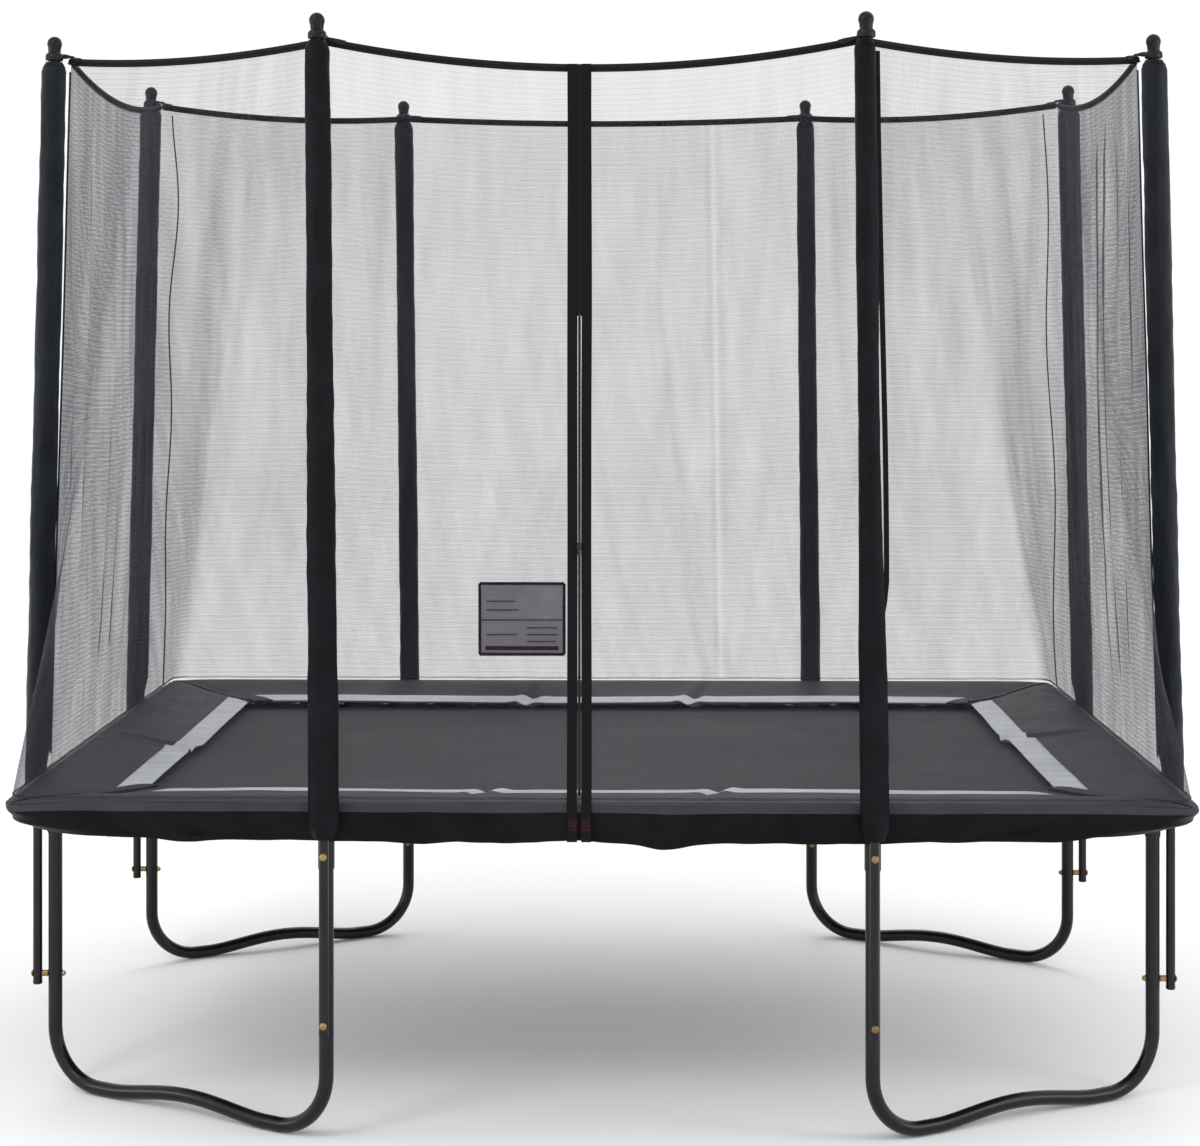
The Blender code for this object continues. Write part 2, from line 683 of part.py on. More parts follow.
def zip_slider(look, parent_of):
    """Slider and pull tab, on the door band's face."""
    foot, up = front_net_line()
    across = Vector((1, 0, 0))
    outward = across.cross(up)
    if outward.y > 0:
        outward = -outward
    origin = foot + up * ((SLIDER_Z - foot.z) / up.z) + outward * (NET_THICKNESS / 2 + 0.0035 + DOOR_THICKNESS + 0.0006)
    parent = bpy.data.objects.new("zip_slide_axis", None)
    parent.location = origin
    bpy.context.scene.collection.objects.link(parent)
    wide, deep, tall = SLIDER_SIZE
    body = [(-wide / 2, tall * 0.15), (-wide / 2 * 0.7, tall / 2), (wide / 2 * 0.7, tall / 2), (wide / 2, tall * 0.15),
            (wide / 2 * 0.45, -tall * 0.02), (wide / 2 * 0.5, -tall / 2), (-wide / 2 * 0.5, -tall / 2), (-wide / 2 * 0.45, -tall * 0.02)]
    outline = [across * u + up * v for u, v in body]
    made = object_of("zip_slider", prism(outline, outward * deep), look)
    made.parent = parent
    return made


# ------------------------------------------------------------------- build
def main():
    clear_scene()
    black_steel = material("black_powder_coat", (0.012, 0.012, 0.014), 0.30, 0.35)
    zinc = material("zinc_steel", (0.45, 0.45, 0.46), 0.35, 1.0)
    foam_cover = material("black_foam_cover", (0.015, 0.015, 0.016), 0.55)
    cap_plastic = material("black_plastic", (0.010, 0.010, 0.011), 0.35)
    mat_cloth = material("grey_mat_weave", (0.085, 0.085, 0.095), 0.70)
    pad_cover = material("dark_pad_cover", (0.050, 0.048, 0.055), 0.45)
    netting = material("black_netting", (0.050, 0.050, 0.055), 0.80)
    webbing = material("black_webbing", (0.012, 0.012, 0.013), 0.75)
    cord_look = material("black_cord", (0.010, 0.010, 0.010), 0.60)

    trampoline = bpy.data.objects.new("trampoline", None)
    bpy.context.scene.collection.objects.link(trampoline)

    for name, sx, sy in CORNERS:
        frame_corner(f"frame_corner_{name}", sx, sy, black_steel, trampoline)
        leg(f"leg_{name}", sx, sy, black_steel, trampoline)
    frame_rail("frame_rail_front", "x", black_steel, trampoline)
    frame_rail("frame_rail_back", "x", black_steel, trampoline)
    frame_rail("frame_rail_left", "y", black_steel, trampoline)
    frame_rail("frame_rail_right", "y", black_steel, trampoline)

    for i, (name, edge, outward) in enumerate(STATIONS):
        pole(f"net_pole_{name}", edge, outward, black_steel, trampoline)
        sleeve(f"foam_sleeve_{name}", edge, outward, foam_cover, trampoline)
        cap(i, cap_plastic, trampoline)
        bolt(f"pole_bolt_{name}", edge, outward, zinc, trampoline)

    mat_axis = bpy.data.objects.new("mat_bounce_axis", None)
    mat_axis.location = (0, 0, MAT_Z)
    bpy.context.scene.collection.objects.link(mat_axis)
    made = mat(mat_cloth, None, (0, 0, MAT_Z))
    made.location = (0, 0, 0)
    made.parent = mat_axis

    for side in SIDES:
        spring_row(side, zinc, trampoline)
        pad(side, pad_cover, trampoline)

    net_panel("net_front", 7, 2, netting, trampoline)
    net_panel("net_right", 2, 3, netting, trampoline)
    net_panel("net_back", 3, 6, netting, trampoline)
    net_panel("net_left", 6, 7, netting, trampoline)
    top_cord(cord_look, trampoline)
    door_band(webbing, trampoline)
    zip_slider(zinc, None)


main()
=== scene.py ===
import math

import bmesh
import bpy
import numpy as np
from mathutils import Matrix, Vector, noise


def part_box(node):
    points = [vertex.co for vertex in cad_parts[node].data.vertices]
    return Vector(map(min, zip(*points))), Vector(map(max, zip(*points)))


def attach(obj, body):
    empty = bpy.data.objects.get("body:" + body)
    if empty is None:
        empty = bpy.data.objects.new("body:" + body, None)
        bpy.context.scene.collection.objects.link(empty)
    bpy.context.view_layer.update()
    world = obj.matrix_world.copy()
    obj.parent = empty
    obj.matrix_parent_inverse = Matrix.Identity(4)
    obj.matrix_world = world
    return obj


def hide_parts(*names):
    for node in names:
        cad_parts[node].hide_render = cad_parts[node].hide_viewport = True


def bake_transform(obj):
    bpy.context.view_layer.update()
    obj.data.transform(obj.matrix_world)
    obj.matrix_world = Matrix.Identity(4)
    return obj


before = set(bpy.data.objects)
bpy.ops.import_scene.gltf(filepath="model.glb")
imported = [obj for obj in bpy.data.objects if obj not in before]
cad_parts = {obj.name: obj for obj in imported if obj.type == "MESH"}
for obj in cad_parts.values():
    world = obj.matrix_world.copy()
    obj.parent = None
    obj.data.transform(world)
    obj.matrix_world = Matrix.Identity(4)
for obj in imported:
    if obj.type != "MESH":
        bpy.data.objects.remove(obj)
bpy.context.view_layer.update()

# ---------------------------------------------------------------- dimensions
HALF_L, HALF_W = 3.05 / 2, 2.13 / 2
TUBE_R = 0.019
FRAME_Z = 0.832
LEG_X, LEG_Y = 0.700, 0.625
LEG_BEND, LEG_BOW, LEG_FOOT = 0.150, 0.026, 0.070
POLE_R, POLE_OFF = 0.0125, 0.0300
POLE_BOTTOM, POLE_BEND, POLE_TOP = 0.285, 0.886, 2.834
BALL_Z, BALL_R = 2.872, 0.021
CORD_Z, CORD_R, HOOK_REACH = 2.829, 0.006, 0.047
NET_HANG = 0.0180
BOLT_Z, UPPER_BOLT_Z = 0.312, 0.742
PAD_TOP, PAD_IN, PAD_WIDE = 0.877, 0.850, 0.318
MAT_INSET, MAT_Z = 0.215, 0.818
NET_EDGE = 0.006
UP = Vector((0, 0, 1))

STATIONS = (
    ("front_left", Vector((-LEG_X, -HALF_W, 0)), Vector((0, -1, 0))),
    ("front_right", Vector((LEG_X, -HALF_W, 0)), Vector((0, -1, 0))),
    ("right_front", Vector((HALF_L, -LEG_Y, 0)), Vector((1, 0, 0))),
    ("right_back", Vector((HALF_L, LEG_Y, 0)), Vector((1, 0, 0))),
    ("back_right", Vector((LEG_X, HALF_W, 0)), Vector((0, 1, 0))),
    ("back_left", Vector((-LEG_X, HALF_W, 0)), Vector((0, 1, 0))),
    ("left_back", Vector((-HALF_L, LEG_Y, 0)), Vector((-1, 0, 0))),
    ("left_front", Vector((-HALF_L, -LEG_Y, 0)), Vector((-1, 0, 0))),
)


def smooth(a, b, x):
    t = min(1.0, max(0.0, (x - a) / (b - a)))
    return t * t * (3 - 2 * t)


def rough(x, y, z=0.0, seed=0.0):
    return noise.noise(Vector((x + seed * 17.3, y - seed * 5.1, z + seed * 3.7)))


def fold(x, y, z=0.0, seed=0.0):
    return noise.fractal(Vector((x + seed * 11.1, y + seed * 7.7, z)), 0.8, 2.1, 4)


# ------------------------------------------------------------------ materials
class Look:
    """A node material with a few shortcuts."""

    def __init__(self, name, colour=(0.02, 0.02, 0.02), roughness=0.5, metallic=0.0, specular=0.5):
        self.mat = bpy.data.materials.new(name)
        self.mat.use_nodes = True
        self.tree = self.mat.node_tree
        self.shader = self.tree.nodes["Principled BSDF"]
        self.shader.inputs["Base Color"].default_value = (*colour, 1)
        self.shader.inputs["Roughness"].default_value = roughness
        self.shader.inputs["Metallic"].default_value = metallic
        self.shader.inputs["Specular IOR Level"].default_value = specular
        self.coords = self.add("ShaderNodeTexCoord")

    def add(self, kind, **values):
        node = self.tree.nodes.new(kind)
        for key, value in values.items():
            setattr(node, key, value)
        return node

    def link(self, a, b):
        self.tree.links.new(a, b)

    def mapped(self, scale, use="Object", rotation=(0, 0, 0)):
        node = self.add("ShaderNodeMapping")
        node.inputs["Scale"].default_value = scale
        node.inputs["Rotation"].default_value = rotation
        self.link(self.coords.outputs[use], node.inputs["Vector"])
        return node.outputs["Vector"]

    def noise(self, vector, scale, detail=4.0, rough_=0.5):
        node = self.add("ShaderNodeTexNoise")
        node.inputs["Scale"].default_value = scale
        node.inputs["Detail"].default_value = detail
        node.inputs["Roughness"].default_value = rough_
        self.link(vector, node.inputs["Vector"])
        return node.outputs["Fac"]

    def wave(self, vector, scale, direction="X", profile="SIN", distortion=0.0):
        node = self.add("ShaderNodeTexWave", bands_direction=direction, wave_profile=profile)
        node.inputs["Scale"].default_value = scale
        node.inputs["Distortion"].default_value = distortion
        node.inputs["Detail"].default_value = 1.0
        self.link(vector, node.inputs["Vector"])
        return node.outputs["Fac"]

    def ramp(self, value, low, high, out_low=0.0, out_high=1.0):
        node = self.add("ShaderNodeMapRange")
        node.inputs["From Min"].default_value = low
        node.inputs["From Max"].default_value = high
        node.inputs["To Min"].default_value = out_low
        node.inputs["To Max"].default_value = out_high
        self.link(value, node.inputs["Value"])
        return node.outputs["Result"]

    def math(self, kind, a, b):
        node = self.add("ShaderNodeMath", operation=kind)
        for socket, value in zip(node.inputs, (a, b)):
            if isinstance(value, (int, float)):
                socket.default_value = value
            else:
                self.link(value, socket)
        return node.outputs[0]

    def mix(self, factor, one, two):
        node = self.add("ShaderNodeMix", data_type="RGBA")
        self.link(factor, node.inputs["Factor"])
        for socket, value in ((node.inputs[6], one), (node.inputs[7], two)):
            if isinstance(value, tuple):
                socket.default_value = (*value, 1)
            else:
                self.link(value, socket)
        return node.outputs[2]

    def bump(self, height, distance, strength=1.0, under=None):
        node = self.add("ShaderNodeBump")
        node.inputs["Distance"].default_value = distance
        node.inputs["Strength"].default_value = strength
        self.link(height, node.inputs["Height"])
        if under is not None:
            self.link(under, node.inputs["Normal"])
        return node.outputs["Normal"]

    def finish(self, colour=None, roughness=None, normal=None, alpha=None):
        for value, key in ((colour, "Base Color"), (roughness, "Roughness"), (normal, "Normal"), (alpha, "Alpha")):
            if value is not None:
                self.link(value, self.shader.inputs[key])
        return self.mat


def powder_coat():
    k = Look("powder_coat_black", specular=0.30)
    p = k.mapped((1, 1, 1))
    wear = k.noise(p, 9.0, 6.0, 0.65)
    fine = k.noise(p, 900.0, 2.0)
    colour = k.mix(k.ramp(wear, 0.35, 0.8), (0.0035, 0.0035, 0.0042), (0.010, 0.0095, 0.0095))
    gloss = k.ramp(wear, 0.3, 0.8, 0.20, 0.36)
    peel = k.bump(fine, 0.00025, 0.5)
    lumps = k.bump(k.noise(p, 60.0, 3.0), 0.0004, 0.4, peel)
    return k.finish(colour, gloss, lumps)


def zinc(name="zinc_plated", bright=(0.50, 0.50, 0.51), dim=(0.33, 0.32, 0.30)):
    k = Look(name, metallic=1.0)
    p = k.mapped((1, 1, 1))
    spangle = k.noise(p, 240.0, 3.0)
    dull = k.noise(p, 25.0, 5.0)
    colour = k.mix(k.ramp(dull, 0.35, 0.7), bright, dim)
    return k.finish(colour, k.ramp(spangle, 0.3, 0.7, 0.26, 0.48), k.bump(spangle, 0.0002, 0.4))


def cover_cloth(name, dark, light, scale=1.0, gloss=(0.36, 0.56), use="Object", specular=0.45, painted_sky_sheen=False):
    """Coated woven cloth: fine cross weave under a satin skin, with scuffs, and when asked a painted bluish sky sheen
    on faces turned to the sides.
    """
    k = Look(name, specular=specular)
    p = k.mapped((scale, scale, scale), use)
    warp = k.wave(p, 480.0, "X")
    weft = k.wave(p, 480.0, "Z" if use == "Object" else "Y")
    weave = k.math("MULTIPLY", warp, weft)
    cloud = k.noise(p, 7.0, 5.0, 0.6)
    scuff = k.noise(p, 38.0, 6.0, 0.7)
    colour = k.mix(k.ramp(cloud, 0.3, 0.72), dark, light)
    scuffs_and_sky_light = k.mix(k.ramp(scuff, 0.58, 0.85, 0.0, 0.35), colour, tuple(min(1, c * 1.9 + 0.01) for c in light))
    if painted_sky_sheen:
        # Painted sky sheen: faces turned along the x axis, to either side, are mixed towards a pale blue that stands in
        # for sky light on the sides.
        way = k.add("ShaderNodeSeparateXYZ")
        k.link(k.add("ShaderNodeNewGeometry").outputs["Normal"], way.inputs[0])
        outer = k.math("POWER", k.math("ABSOLUTE", way.outputs["X"], 0.0), 3.0)
        painted_sky_mask = k.math("MULTIPLY", outer, k.ramp(cloud, 0.25, 0.7, 0.35, 1.0))
        scuffs_and_sky_light = k.mix(painted_sky_mask, scuffs_and_sky_light, (0.028, 0.040, 0.055))
    normal = k.bump(scuff, 0.0008, 0.35, k.bump(weave, 0.0003, 0.5))
    return k.finish(scuffs_and_sky_light, k.ramp(cloud, 0.3, 0.7, *gloss), normal)


def mat_weave():
    """Dense woven polypropylene: a tight basket weave with faint woven stripes."""
    k = Look("mat_weave_grey", specular=0.14)
    p = k.mapped((1, 1, 1))
    a = k.wave(p, 330.0, "X")
    b = k.wave(p, 330.0, "Y")
    weave = k.math("MAXIMUM", a, b)
    stripe = k.wave(p, 12.0, "Y", distortion=0.2)
    cloud = k.noise(p, 3.2, 6.0, 0.6)
    colour = k.mix(k.ramp(cloud, 0.3, 0.7), (0.058, 0.057, 0.063), (0.076, 0.075, 0.082))
    tone = k.mix(k.ramp(stripe, 0.0, 1.0, 0.0, 0.20), colour, (0.10, 0.10, 0.11))
    dusty = k.mix(k.ramp(k.noise(p, 120.0, 4.0), 0.55, 0.8, 0.0, 0.3), tone, (0.11, 0.11, 0.12))
    return k.finish(dusty, k.ramp(cloud, 0.3, 0.7, 0.55, 0.75), k.bump(weave, 0.0006, 0.6))


def netting(name, cover, contrast=1.0, dark=(0.026, 0.023, 0.032), light=(0.060, 0.053, 0.070), painted_fold_light=False):
    """Knitted mesh: two sets of fine strands with open holes, thicker at the knots. The alpha is the strands' share."""
    k = Look(name, specular=0.15)
    p = k.mapped((1, 1, 1), "UV")
    across = k.wave(p, 90.0, "X")
    down = k.wave(p, 78.0, "Y", distortion=0.3)
    strands = k.math("ADD", k.math("POWER", across, 3.0), k.math("POWER", down, 3.0))
    rows = k.wave(p, 22.0, "Y", distortion=1.5)
    stretched = k.mapped((5.0, 0.7, 1.0), "UV")
    cloth = k.noise(stretched, 3.0, 5.0, 0.6)
    share = k.ramp(strands, 0.0, 1.4, 0.45 * cover, 1.62 * cover)
    share = k.math("MULTIPLY", share, k.ramp(rows, 0.0, 1.0, 1.0 - 0.10 * contrast, 1.0 + 0.10 * contrast))
    share = k.math("MULTIPLY", share, k.ramp(cloth, 0.25, 0.75, 1.0 - 0.26 * contrast, 1.0 + 0.26 * contrast))
    if painted_fold_light:
        # Painted fold light: the strands' share is cut along one crease, a painted highlight, and raised beside it and
        # along the folds that fan from the foot, painted shade.
        spot = k.add("ShaderNodeSeparateXYZ")
        k.link(k.mapped((1, 1, 1)), spot.inputs[0])
        low = k.ramp(spot.outputs["Z"], 2.80, 0.90)
        low2 = k.math("MULTIPLY", low, low)
        for start, shift, wide, at_line, bent in ((0.356, 0.031, 0.013, 0.62, low), (0.334, 0.035, 0.014, 1.20, low), (0.380, 0.035, 0.014, 1.14, low), (0.165, 0.165, 0.030, 1.20, low2), (0.600, -0.150, 0.034, 1.14, low2), (-0.100, 0.190, 0.030, 1.12, low2)):
            line = k.math("ADD", k.math("MULTIPLY", bent, shift), start)
            away = k.math("ABSOLUTE", k.math("SUBTRACT", spot.outputs["X"], line), 0.0)
            share = k.math("MULTIPLY", share, k.ramp(away, 0.0, wide, at_line, 1.0))
    way = k.add("ShaderNodeSeparateXYZ")
    k.link(k.add("ShaderNodeNewGeometry").outputs["Normal"], way.inputs[0])
    sideways = k.math("POWER", k.math("ABSOLUTE", way.outputs["X"], 0.0), 2.0)
    share = k.math("MINIMUM", k.math("MULTIPLY", share, k.ramp(sideways, 0.0, 1.0, 1.0, 2.5)), 0.93)
    colour = k.mix(k.ramp(cloth, 0.3, 0.7), dark, light)
    k.shader.inputs["Roughness"].default_value = 0.8
    return k.finish(colour, k.ramp(cloth, 0.3, 0.7, 0.7, 0.9), k.bump(strands, 0.0006, 0.5), share)


def webbing(name, dark=(0.0045, 0.0045, 0.0055), light=(0.013, 0.0125, 0.0145)):
    """Woven tape: a rib across and a herringbone along it."""
    k = Look(name, specular=0.10)
    p = k.mapped((1, 1, 1), "UV")
    ribs = k.wave(p, 160.0, "Y")
    bones = k.wave(p, 260.0, "DIAGONAL")
    height = k.math("ADD", ribs, k.math("MULTIPLY", bones, 0.6))
    fuzz = k.noise(p, 60.0, 5.0, 0.7)
    colour = k.mix(k.ramp(k.math("MULTIPLY", ribs, fuzz), 0.1, 0.6), dark, light)
    return k.finish(colour, k.ramp(fuzz, 0.3, 0.7, 0.62, 0.85), k.bump(height, 0.0006, 0.7))


def braid():
    k = Look("cord_braid", specular=0.10)
    p = k.mapped((1, 1, 1), "UV")
    a = k.wave(p, 95.0, "DIAGONAL")
    b = k.wave(k.mapped((-1, 1, 1), "UV"), 95.0, "DIAGONAL")
    plait = k.math("MAXIMUM", a, b)
    fuzz = k.noise(p, 130.0, 4.0)
    colour = k.mix(k.ramp(k.math("MULTIPLY", plait, fuzz), 0.1, 0.6), (0.006, 0.006, 0.006), (0.024, 0.023, 0.023))
    return k.finish(colour, k.ramp(fuzz, 0.3, 0.7, 0.6, 0.85), k.bump(plait, 0.0008, 0.8))


def plastic(name, base, light, gloss=(0.30, 0.45)):
    k = Look(name, specular=0.22)
    p = k.mapped((1, 1, 1))
    cloud = k.noise(p, 45.0, 5.0, 0.6)
    grain = k.noise(p, 1600.0, 2.0)
    colour = k.mix(k.ramp(cloud, 0.35, 0.75), base, light)
    return k.finish(colour, k.ramp(cloud, 0.3, 0.7, *gloss), k.bump(grain, 0.0001, 0.5))


def pale_floor():
    k = Look("floor_pale", specular=0.1)
    p = k.mapped((1, 1, 1))
    cloud = k.noise(p, 0.6, 3.0)
    colour = k.mix(k.ramp(cloud, 0.3, 0.7), (0.955, 0.955, 0.96), (0.985, 0.985, 0.985))
    return k.finish(colour, k.ramp(cloud, 0.3, 0.7, 0.85, 0.95))


STEEL = powder_coat()
ZINC = zinc()
BRASS = zinc("yellow_zinc", (0.36, 0.26, 0.12), (0.22, 0.15, 0.07))
# Side-pole sleeve cover: the bluish tint and the bluish sheen on side-facing faces are painted sky light, not the
# cover's own colour.
SLEEVE_SKY_LIT = cover_cloth("sleeve_cover_painted_sky_light", (0.0040, 0.0048, 0.0065), (0.012, 0.0135, 0.017), gloss=(0.30, 0.45), use="UV", specular=0.12, painted_sky_sheen=True)
SLEEVE = cover_cloth("sleeve_cover_black", (0.0030, 0.0032, 0.0042), (0.0095, 0.0098, 0.012), gloss=(0.34, 0.52), use="UV", specular=0.07)
PAD = cover_cloth("pad_cover_charcoal", (0.034, 0.033, 0.039), (0.050, 0.049, 0.056), gloss=(0.45, 0.62), use="Object", specular=0.14)
STRIP = cover_cloth("pad_strip_pale", (0.58, 0.605, 0.65), (0.73, 0.755, 0.795), gloss=(0.45, 0.62), use="Object", specular=0.2)
SKIRT = cover_cloth("skirt_black", (0.0025, 0.0028, 0.0034), (0.0080, 0.0083, 0.0095), gloss=(0.34, 0.55), use="UV", specular=0.07)
PAD_EDGE = cover_cloth("pad_edge_charcoal", (0.032, 0.031, 0.036), (0.048, 0.047, 0.054), gloss=(0.45, 0.62), use="UV", specular=0.14)
MAT = mat_weave()
NET = netting("netting_black", 0.250)
NET_SIDE = netting("netting_black_side", 0.262, 1.2)
# Back net: its crease lines carry a painted fold highlight and painted fold shade.
NET_BACK = netting("netting_black_back", 0.250, painted_fold_light=True)
WEB = webbing("webbing_black")
WEB_DARK = webbing("webbing_hem", (0.008, 0.0075, 0.0095), (0.02, 0.019, 0.022))
WEB_GREY = webbing("webbing_grey", (0.07, 0.065, 0.075), (0.12, 0.115, 0.125))
CORD = braid()
PLASTIC = plastic("plastic_black", (0.004, 0.0045, 0.0055), (0.011, 0.012, 0.0135))
ZIP = plastic("zip_black", (0.012, 0.012, 0.013), (0.045, 0.045, 0.048), (0.25, 0.4))
LABEL = cover_cloth("label_blank_grey", (0.30, 0.285, 0.315), (0.40, 0.385, 0.42), gloss=(0.5, 0.7), use="UV")
THREAD = webbing("stitching_red_brown", (0.045, 0.012, 0.012), (0.09, 0.03, 0.03))


# ------------------------------------------------------------------- meshing
def build(name, verts, faces, look, uvs=None, smooth_angle=40, looks=None, face_looks=None):
    mesh = bpy.data.meshes.new(name)
    mesh.from_pydata([tuple(v) for v in verts], [], faces)
    mesh.update()
    if uvs is not None:
        layer = mesh.uv_layers.new(name="UVMap")
        flat = np.array([uvs[l.vertex_index] for l in mesh.loops], np.float32).reshape(-1)
        layer.data.foreach_set("uv", flat)
    for m in (looks or [look]):
        mesh.materials.append(m)
    if face_looks is not None:
        mesh.polygons.foreach_set("material_index", face_looks)
    bm = bmesh.new()
    bm.from_mesh(mesh)
    bmesh.ops.recalc_face_normals(bm, faces=bm.faces)
    bm.to_mesh(mesh)
    bm.free()
    mesh.shade_smooth()
    if smooth_angle:
        mesh.set_sharp_from_angle(angle=math.radians(smooth_angle))
    made = bpy.data.objects.new(name, mesh)
    bpy.context.scene.collection.objects.link(made)
    return made


class Parts:
    """Collects several shapes into one mesh."""

    def __init__(self):
        self.verts, self.faces, self.uvs = [], [], []

    def grid(self, rows, closed_u=False, closed_v=False, uv=None, cap=False):
        base = len(self.verts)
        n, m = len(rows), len(rows[0])
        for i, row in enumerate(rows):
            for j, point in enumerate(row):
                self.verts.append(point)
                self.uvs.append(uv[i][j] if uv else (j / m, i / n))
        for i in range(n if closed_v else n - 1):
            for j in range(m if closed_u else m - 1):
                a, b = (i + 1) % n, (j + 1) % m
                self.faces.append((base + i * m + j, base + i * m + b, base + a * m + b, base + a * m + j))
        if cap:
            self.faces.append(tuple(base + j for j in range(m))[::-1])
            self.faces.append(tuple(base + (n - 1) * m + j for j in range(m)))

    def tube(self, points, radius, sides=16, side=None, closed=False, cap=True, shape=None, ring_uv=True):
        """Swept round tube. radius is a number or one for each point; shape(k, i) scales a ring's point."""
        count = len(points)
        rings, uvs = [], []
        length = 0.0
        reference = side
        for i, point in enumerate(points):
            if closed:
                before, after = (point - points[i - 1]).normalized(), (points[(i + 1) % count] - point).normalized()
            else:
                before = (point - points[i - 1]).normalized() if i else (points[1] - point).normalized()
                after = (points[i + 1] - point).normalized() if i + 1 < count else before
            tangent = (before + after).normalized()
            if reference is None:
                reference = tangent.orthogonal()
            across = (reference - tangent * reference.dot(tangent)).normalized()
            if side is None:
                reference = across
            up = across.cross(tangent)
            r = radius[i] if hasattr(radius, "__len__") else radius
            if i:
                length += (point - points[i - 1]).length
            ring, ring_uvs = [], []
            for k in range(sides):
                angle = 2 * math.pi * k / sides
                s = shape(k / sides, i) if shape else 1.0
                ring.append(point + (across * math.cos(angle) + up * math.sin(angle)) * r * s)
                ring_uvs.append((2 * math.pi * r * k / sides if ring_uv else k / sides, length))
            rings.append(ring)
            uvs.append(ring_uvs)
        self.grid(rings, closed_u=True, closed_v=closed, uv=uvs, cap=cap and not closed)

    def turned(self, base, up, profile, sides=24, side=None):
        """Turned profile of (radius, height) about an axis."""
        first = (side or up.orthogonal()).normalized()
        second = up.cross(first)
        rows = []
        for radius, height in profile:
            radius = max(radius, 1e-5)
            rows.append([base + up * height + (first * math.cos(2 * math.pi * k / sides) + second * math.sin(2 * math.pi * k / sides)) * radius for k in range(sides)])
        uv = [[(0.05 * k / sides, height) for k in range(sides)] for _, height in profile]
        self.grid(rows, closed_u=True, uv=uv, cap=True)

    def block(self, outline, extrude, bevel=0.0):
        """Flat outline, extruded, with its rims drawn in a little."""
        centre = sum(outline, Vector()) / len(outline)
        way = extrude.normalized()
        rows = []
        if bevel:
            steps = ((0.0, bevel), (bevel, 0.0), (extrude.length - bevel, 0.0), (extrude.length, bevel))
        else:
            steps = ((0.0, 0.0), (extrude.length, 0.0))
        for height, pull in steps:
            rows.append([p + (centre - p).normalized() * pull + way * height for p in outline])
        uv = [[(p.x + p.y, p.z) for p in row] for row in rows]
        self.grid(rows, closed_u=True, uv=uv, cap=True)

    def make(self, name, look, smooth_angle=40):
        return build(name, self.verts, self.faces, look, self.uvs, smooth_angle)


def place(piece, slot, *nodes, body="root"):
    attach(piece, body)
    if nodes:
        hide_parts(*nodes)
    return piece


def arc(centre, start, end, steps):
    a, b = start - centre, end - centre
    normal = a.cross(b).normalized()
    total = a.angle(b)
    return [centre + a * math.cos(total * i / steps) + normal.cross(a) * math.sin(total * i / steps) for i in range(steps + 1)]


def pole_axis(edge, outward):
    base = edge + outward * POLE_OFF
    lean = 0.047 if abs(outward.x) > 0.5 else 0.020
    drift = 0.0 if abs(outward.x) > 0.5 else 0.020
    foot = Vector((base.x, base.y, POLE_BEND))
    head = Vector((base.x, base.y, BALL_Z)) - outward * lean - Vector((drift, 0, 0))

    def at(z):
        return foot.lerp(head, (z - POLE_BEND) / (BALL_Z - POLE_BEND)) if z > POLE_BEND else Vector((base.x, base.y, z))

    return at


def hook_way(i):
    here, before, after = (pole_axis(*STATIONS[k % 8][1:])(CORD_Z) for k in (i, i - 1, i + 1))
    return ((before - here).normalized() + (after - here).normalized()).normalized()


def hook_point(i):
    i %= 8
    return pole_axis(*STATIONS[i][1:])(CORD_Z) + hook_way(i) * HOOK_REACH


def cord_sag(i):
    key = {STATIONS[i % 8][0].split("_")[0], STATIONS[(i + 1) % 8][0].split("_")[0]}
    return 0.070 if key == {"front"} else 0.018 if key == {"back"} else 0.055 if len(key) == 1 else 0.022


def cord_at(i, t):
    a, b = hook_point(i), hook_point(i + 1)
    return a.lerp(b, t) - UP * (4 * cord_sag(i) * t * (1 - t))


# --------------------------------------------------------------------- frame
def make_frame():
    x, y, r, z = HALF_L - TUBE_R, HALF_W - TUBE_R, 0.150, FRAME_Z
    for name, sx, sy in (("front_left", -1, -1), ("front_right", 1, -1), ("back_left", -1, 1), ("back_right", 1, 1)):
        parts = Parts()
        start = Vector((sx * (LEG_X - 0.085), sy * y, z))
        end = Vector((sx * x, sy * (LEG_Y - 0.085), z))
        bend = arc(Vector((sx * (x - r), sy * (y - r), z)), Vector((sx * (x - r), sy * y, z)), Vector((sx * x, sy * (y - r), z)), 14)
        parts.tube([start, start.lerp(bend[0], 0.5), *bend, bend[-1].lerp(end, 0.5), end], TUBE_R, 28, UP)
        for spot in (Vector((sx * LEG_X, sy * y, 0)), Vector((sx * x, sy * LEG_Y, 0))):
            profile = [(0.0196, 0.7005), (0.0205, 0.700), (0.0212, 0.7015), (0.0214, 0.705), (0.0214, 0.808), (0.0226, 0.812), (0.0232, 0.817), (0.0205, 0.824)]
            parts.turned(spot, UP, profile, 28)
        place(parts.make(f"frame_corner_{name}_fine", STEEL), "powder_coat", f"frame_corner_{name}")
    for name, a, b in (
        ("front", Vector((-LEG_X + 0.0854, -y, z)), Vector((LEG_X - 0.0854, -y, z))),
        ("back", Vector((-LEG_X + 0.0854, y, z)), Vector((LEG_X - 0.0854, y, z))),
        ("left", Vector((-x, -LEG_Y + 0.0854, z)), Vector((-x, LEG_Y - 0.0854, z))),
        ("right", Vector((x, -LEG_Y + 0.0854, z)), Vector((x, LEG_Y - 0.0854, z))),
    ):
        parts = Parts()
        n = 20
        radii = [TUBE_R - 0.0012 if i in (0, n) else TUBE_R for i in range(n + 1)]
        parts.tube([a.lerp(b, i / n) for i in range(n + 1)], radii, 28, UP)
        place(parts.make(f"frame_rail_{name}_fine", STEEL), "powder_coat", f"frame_rail_{name}")


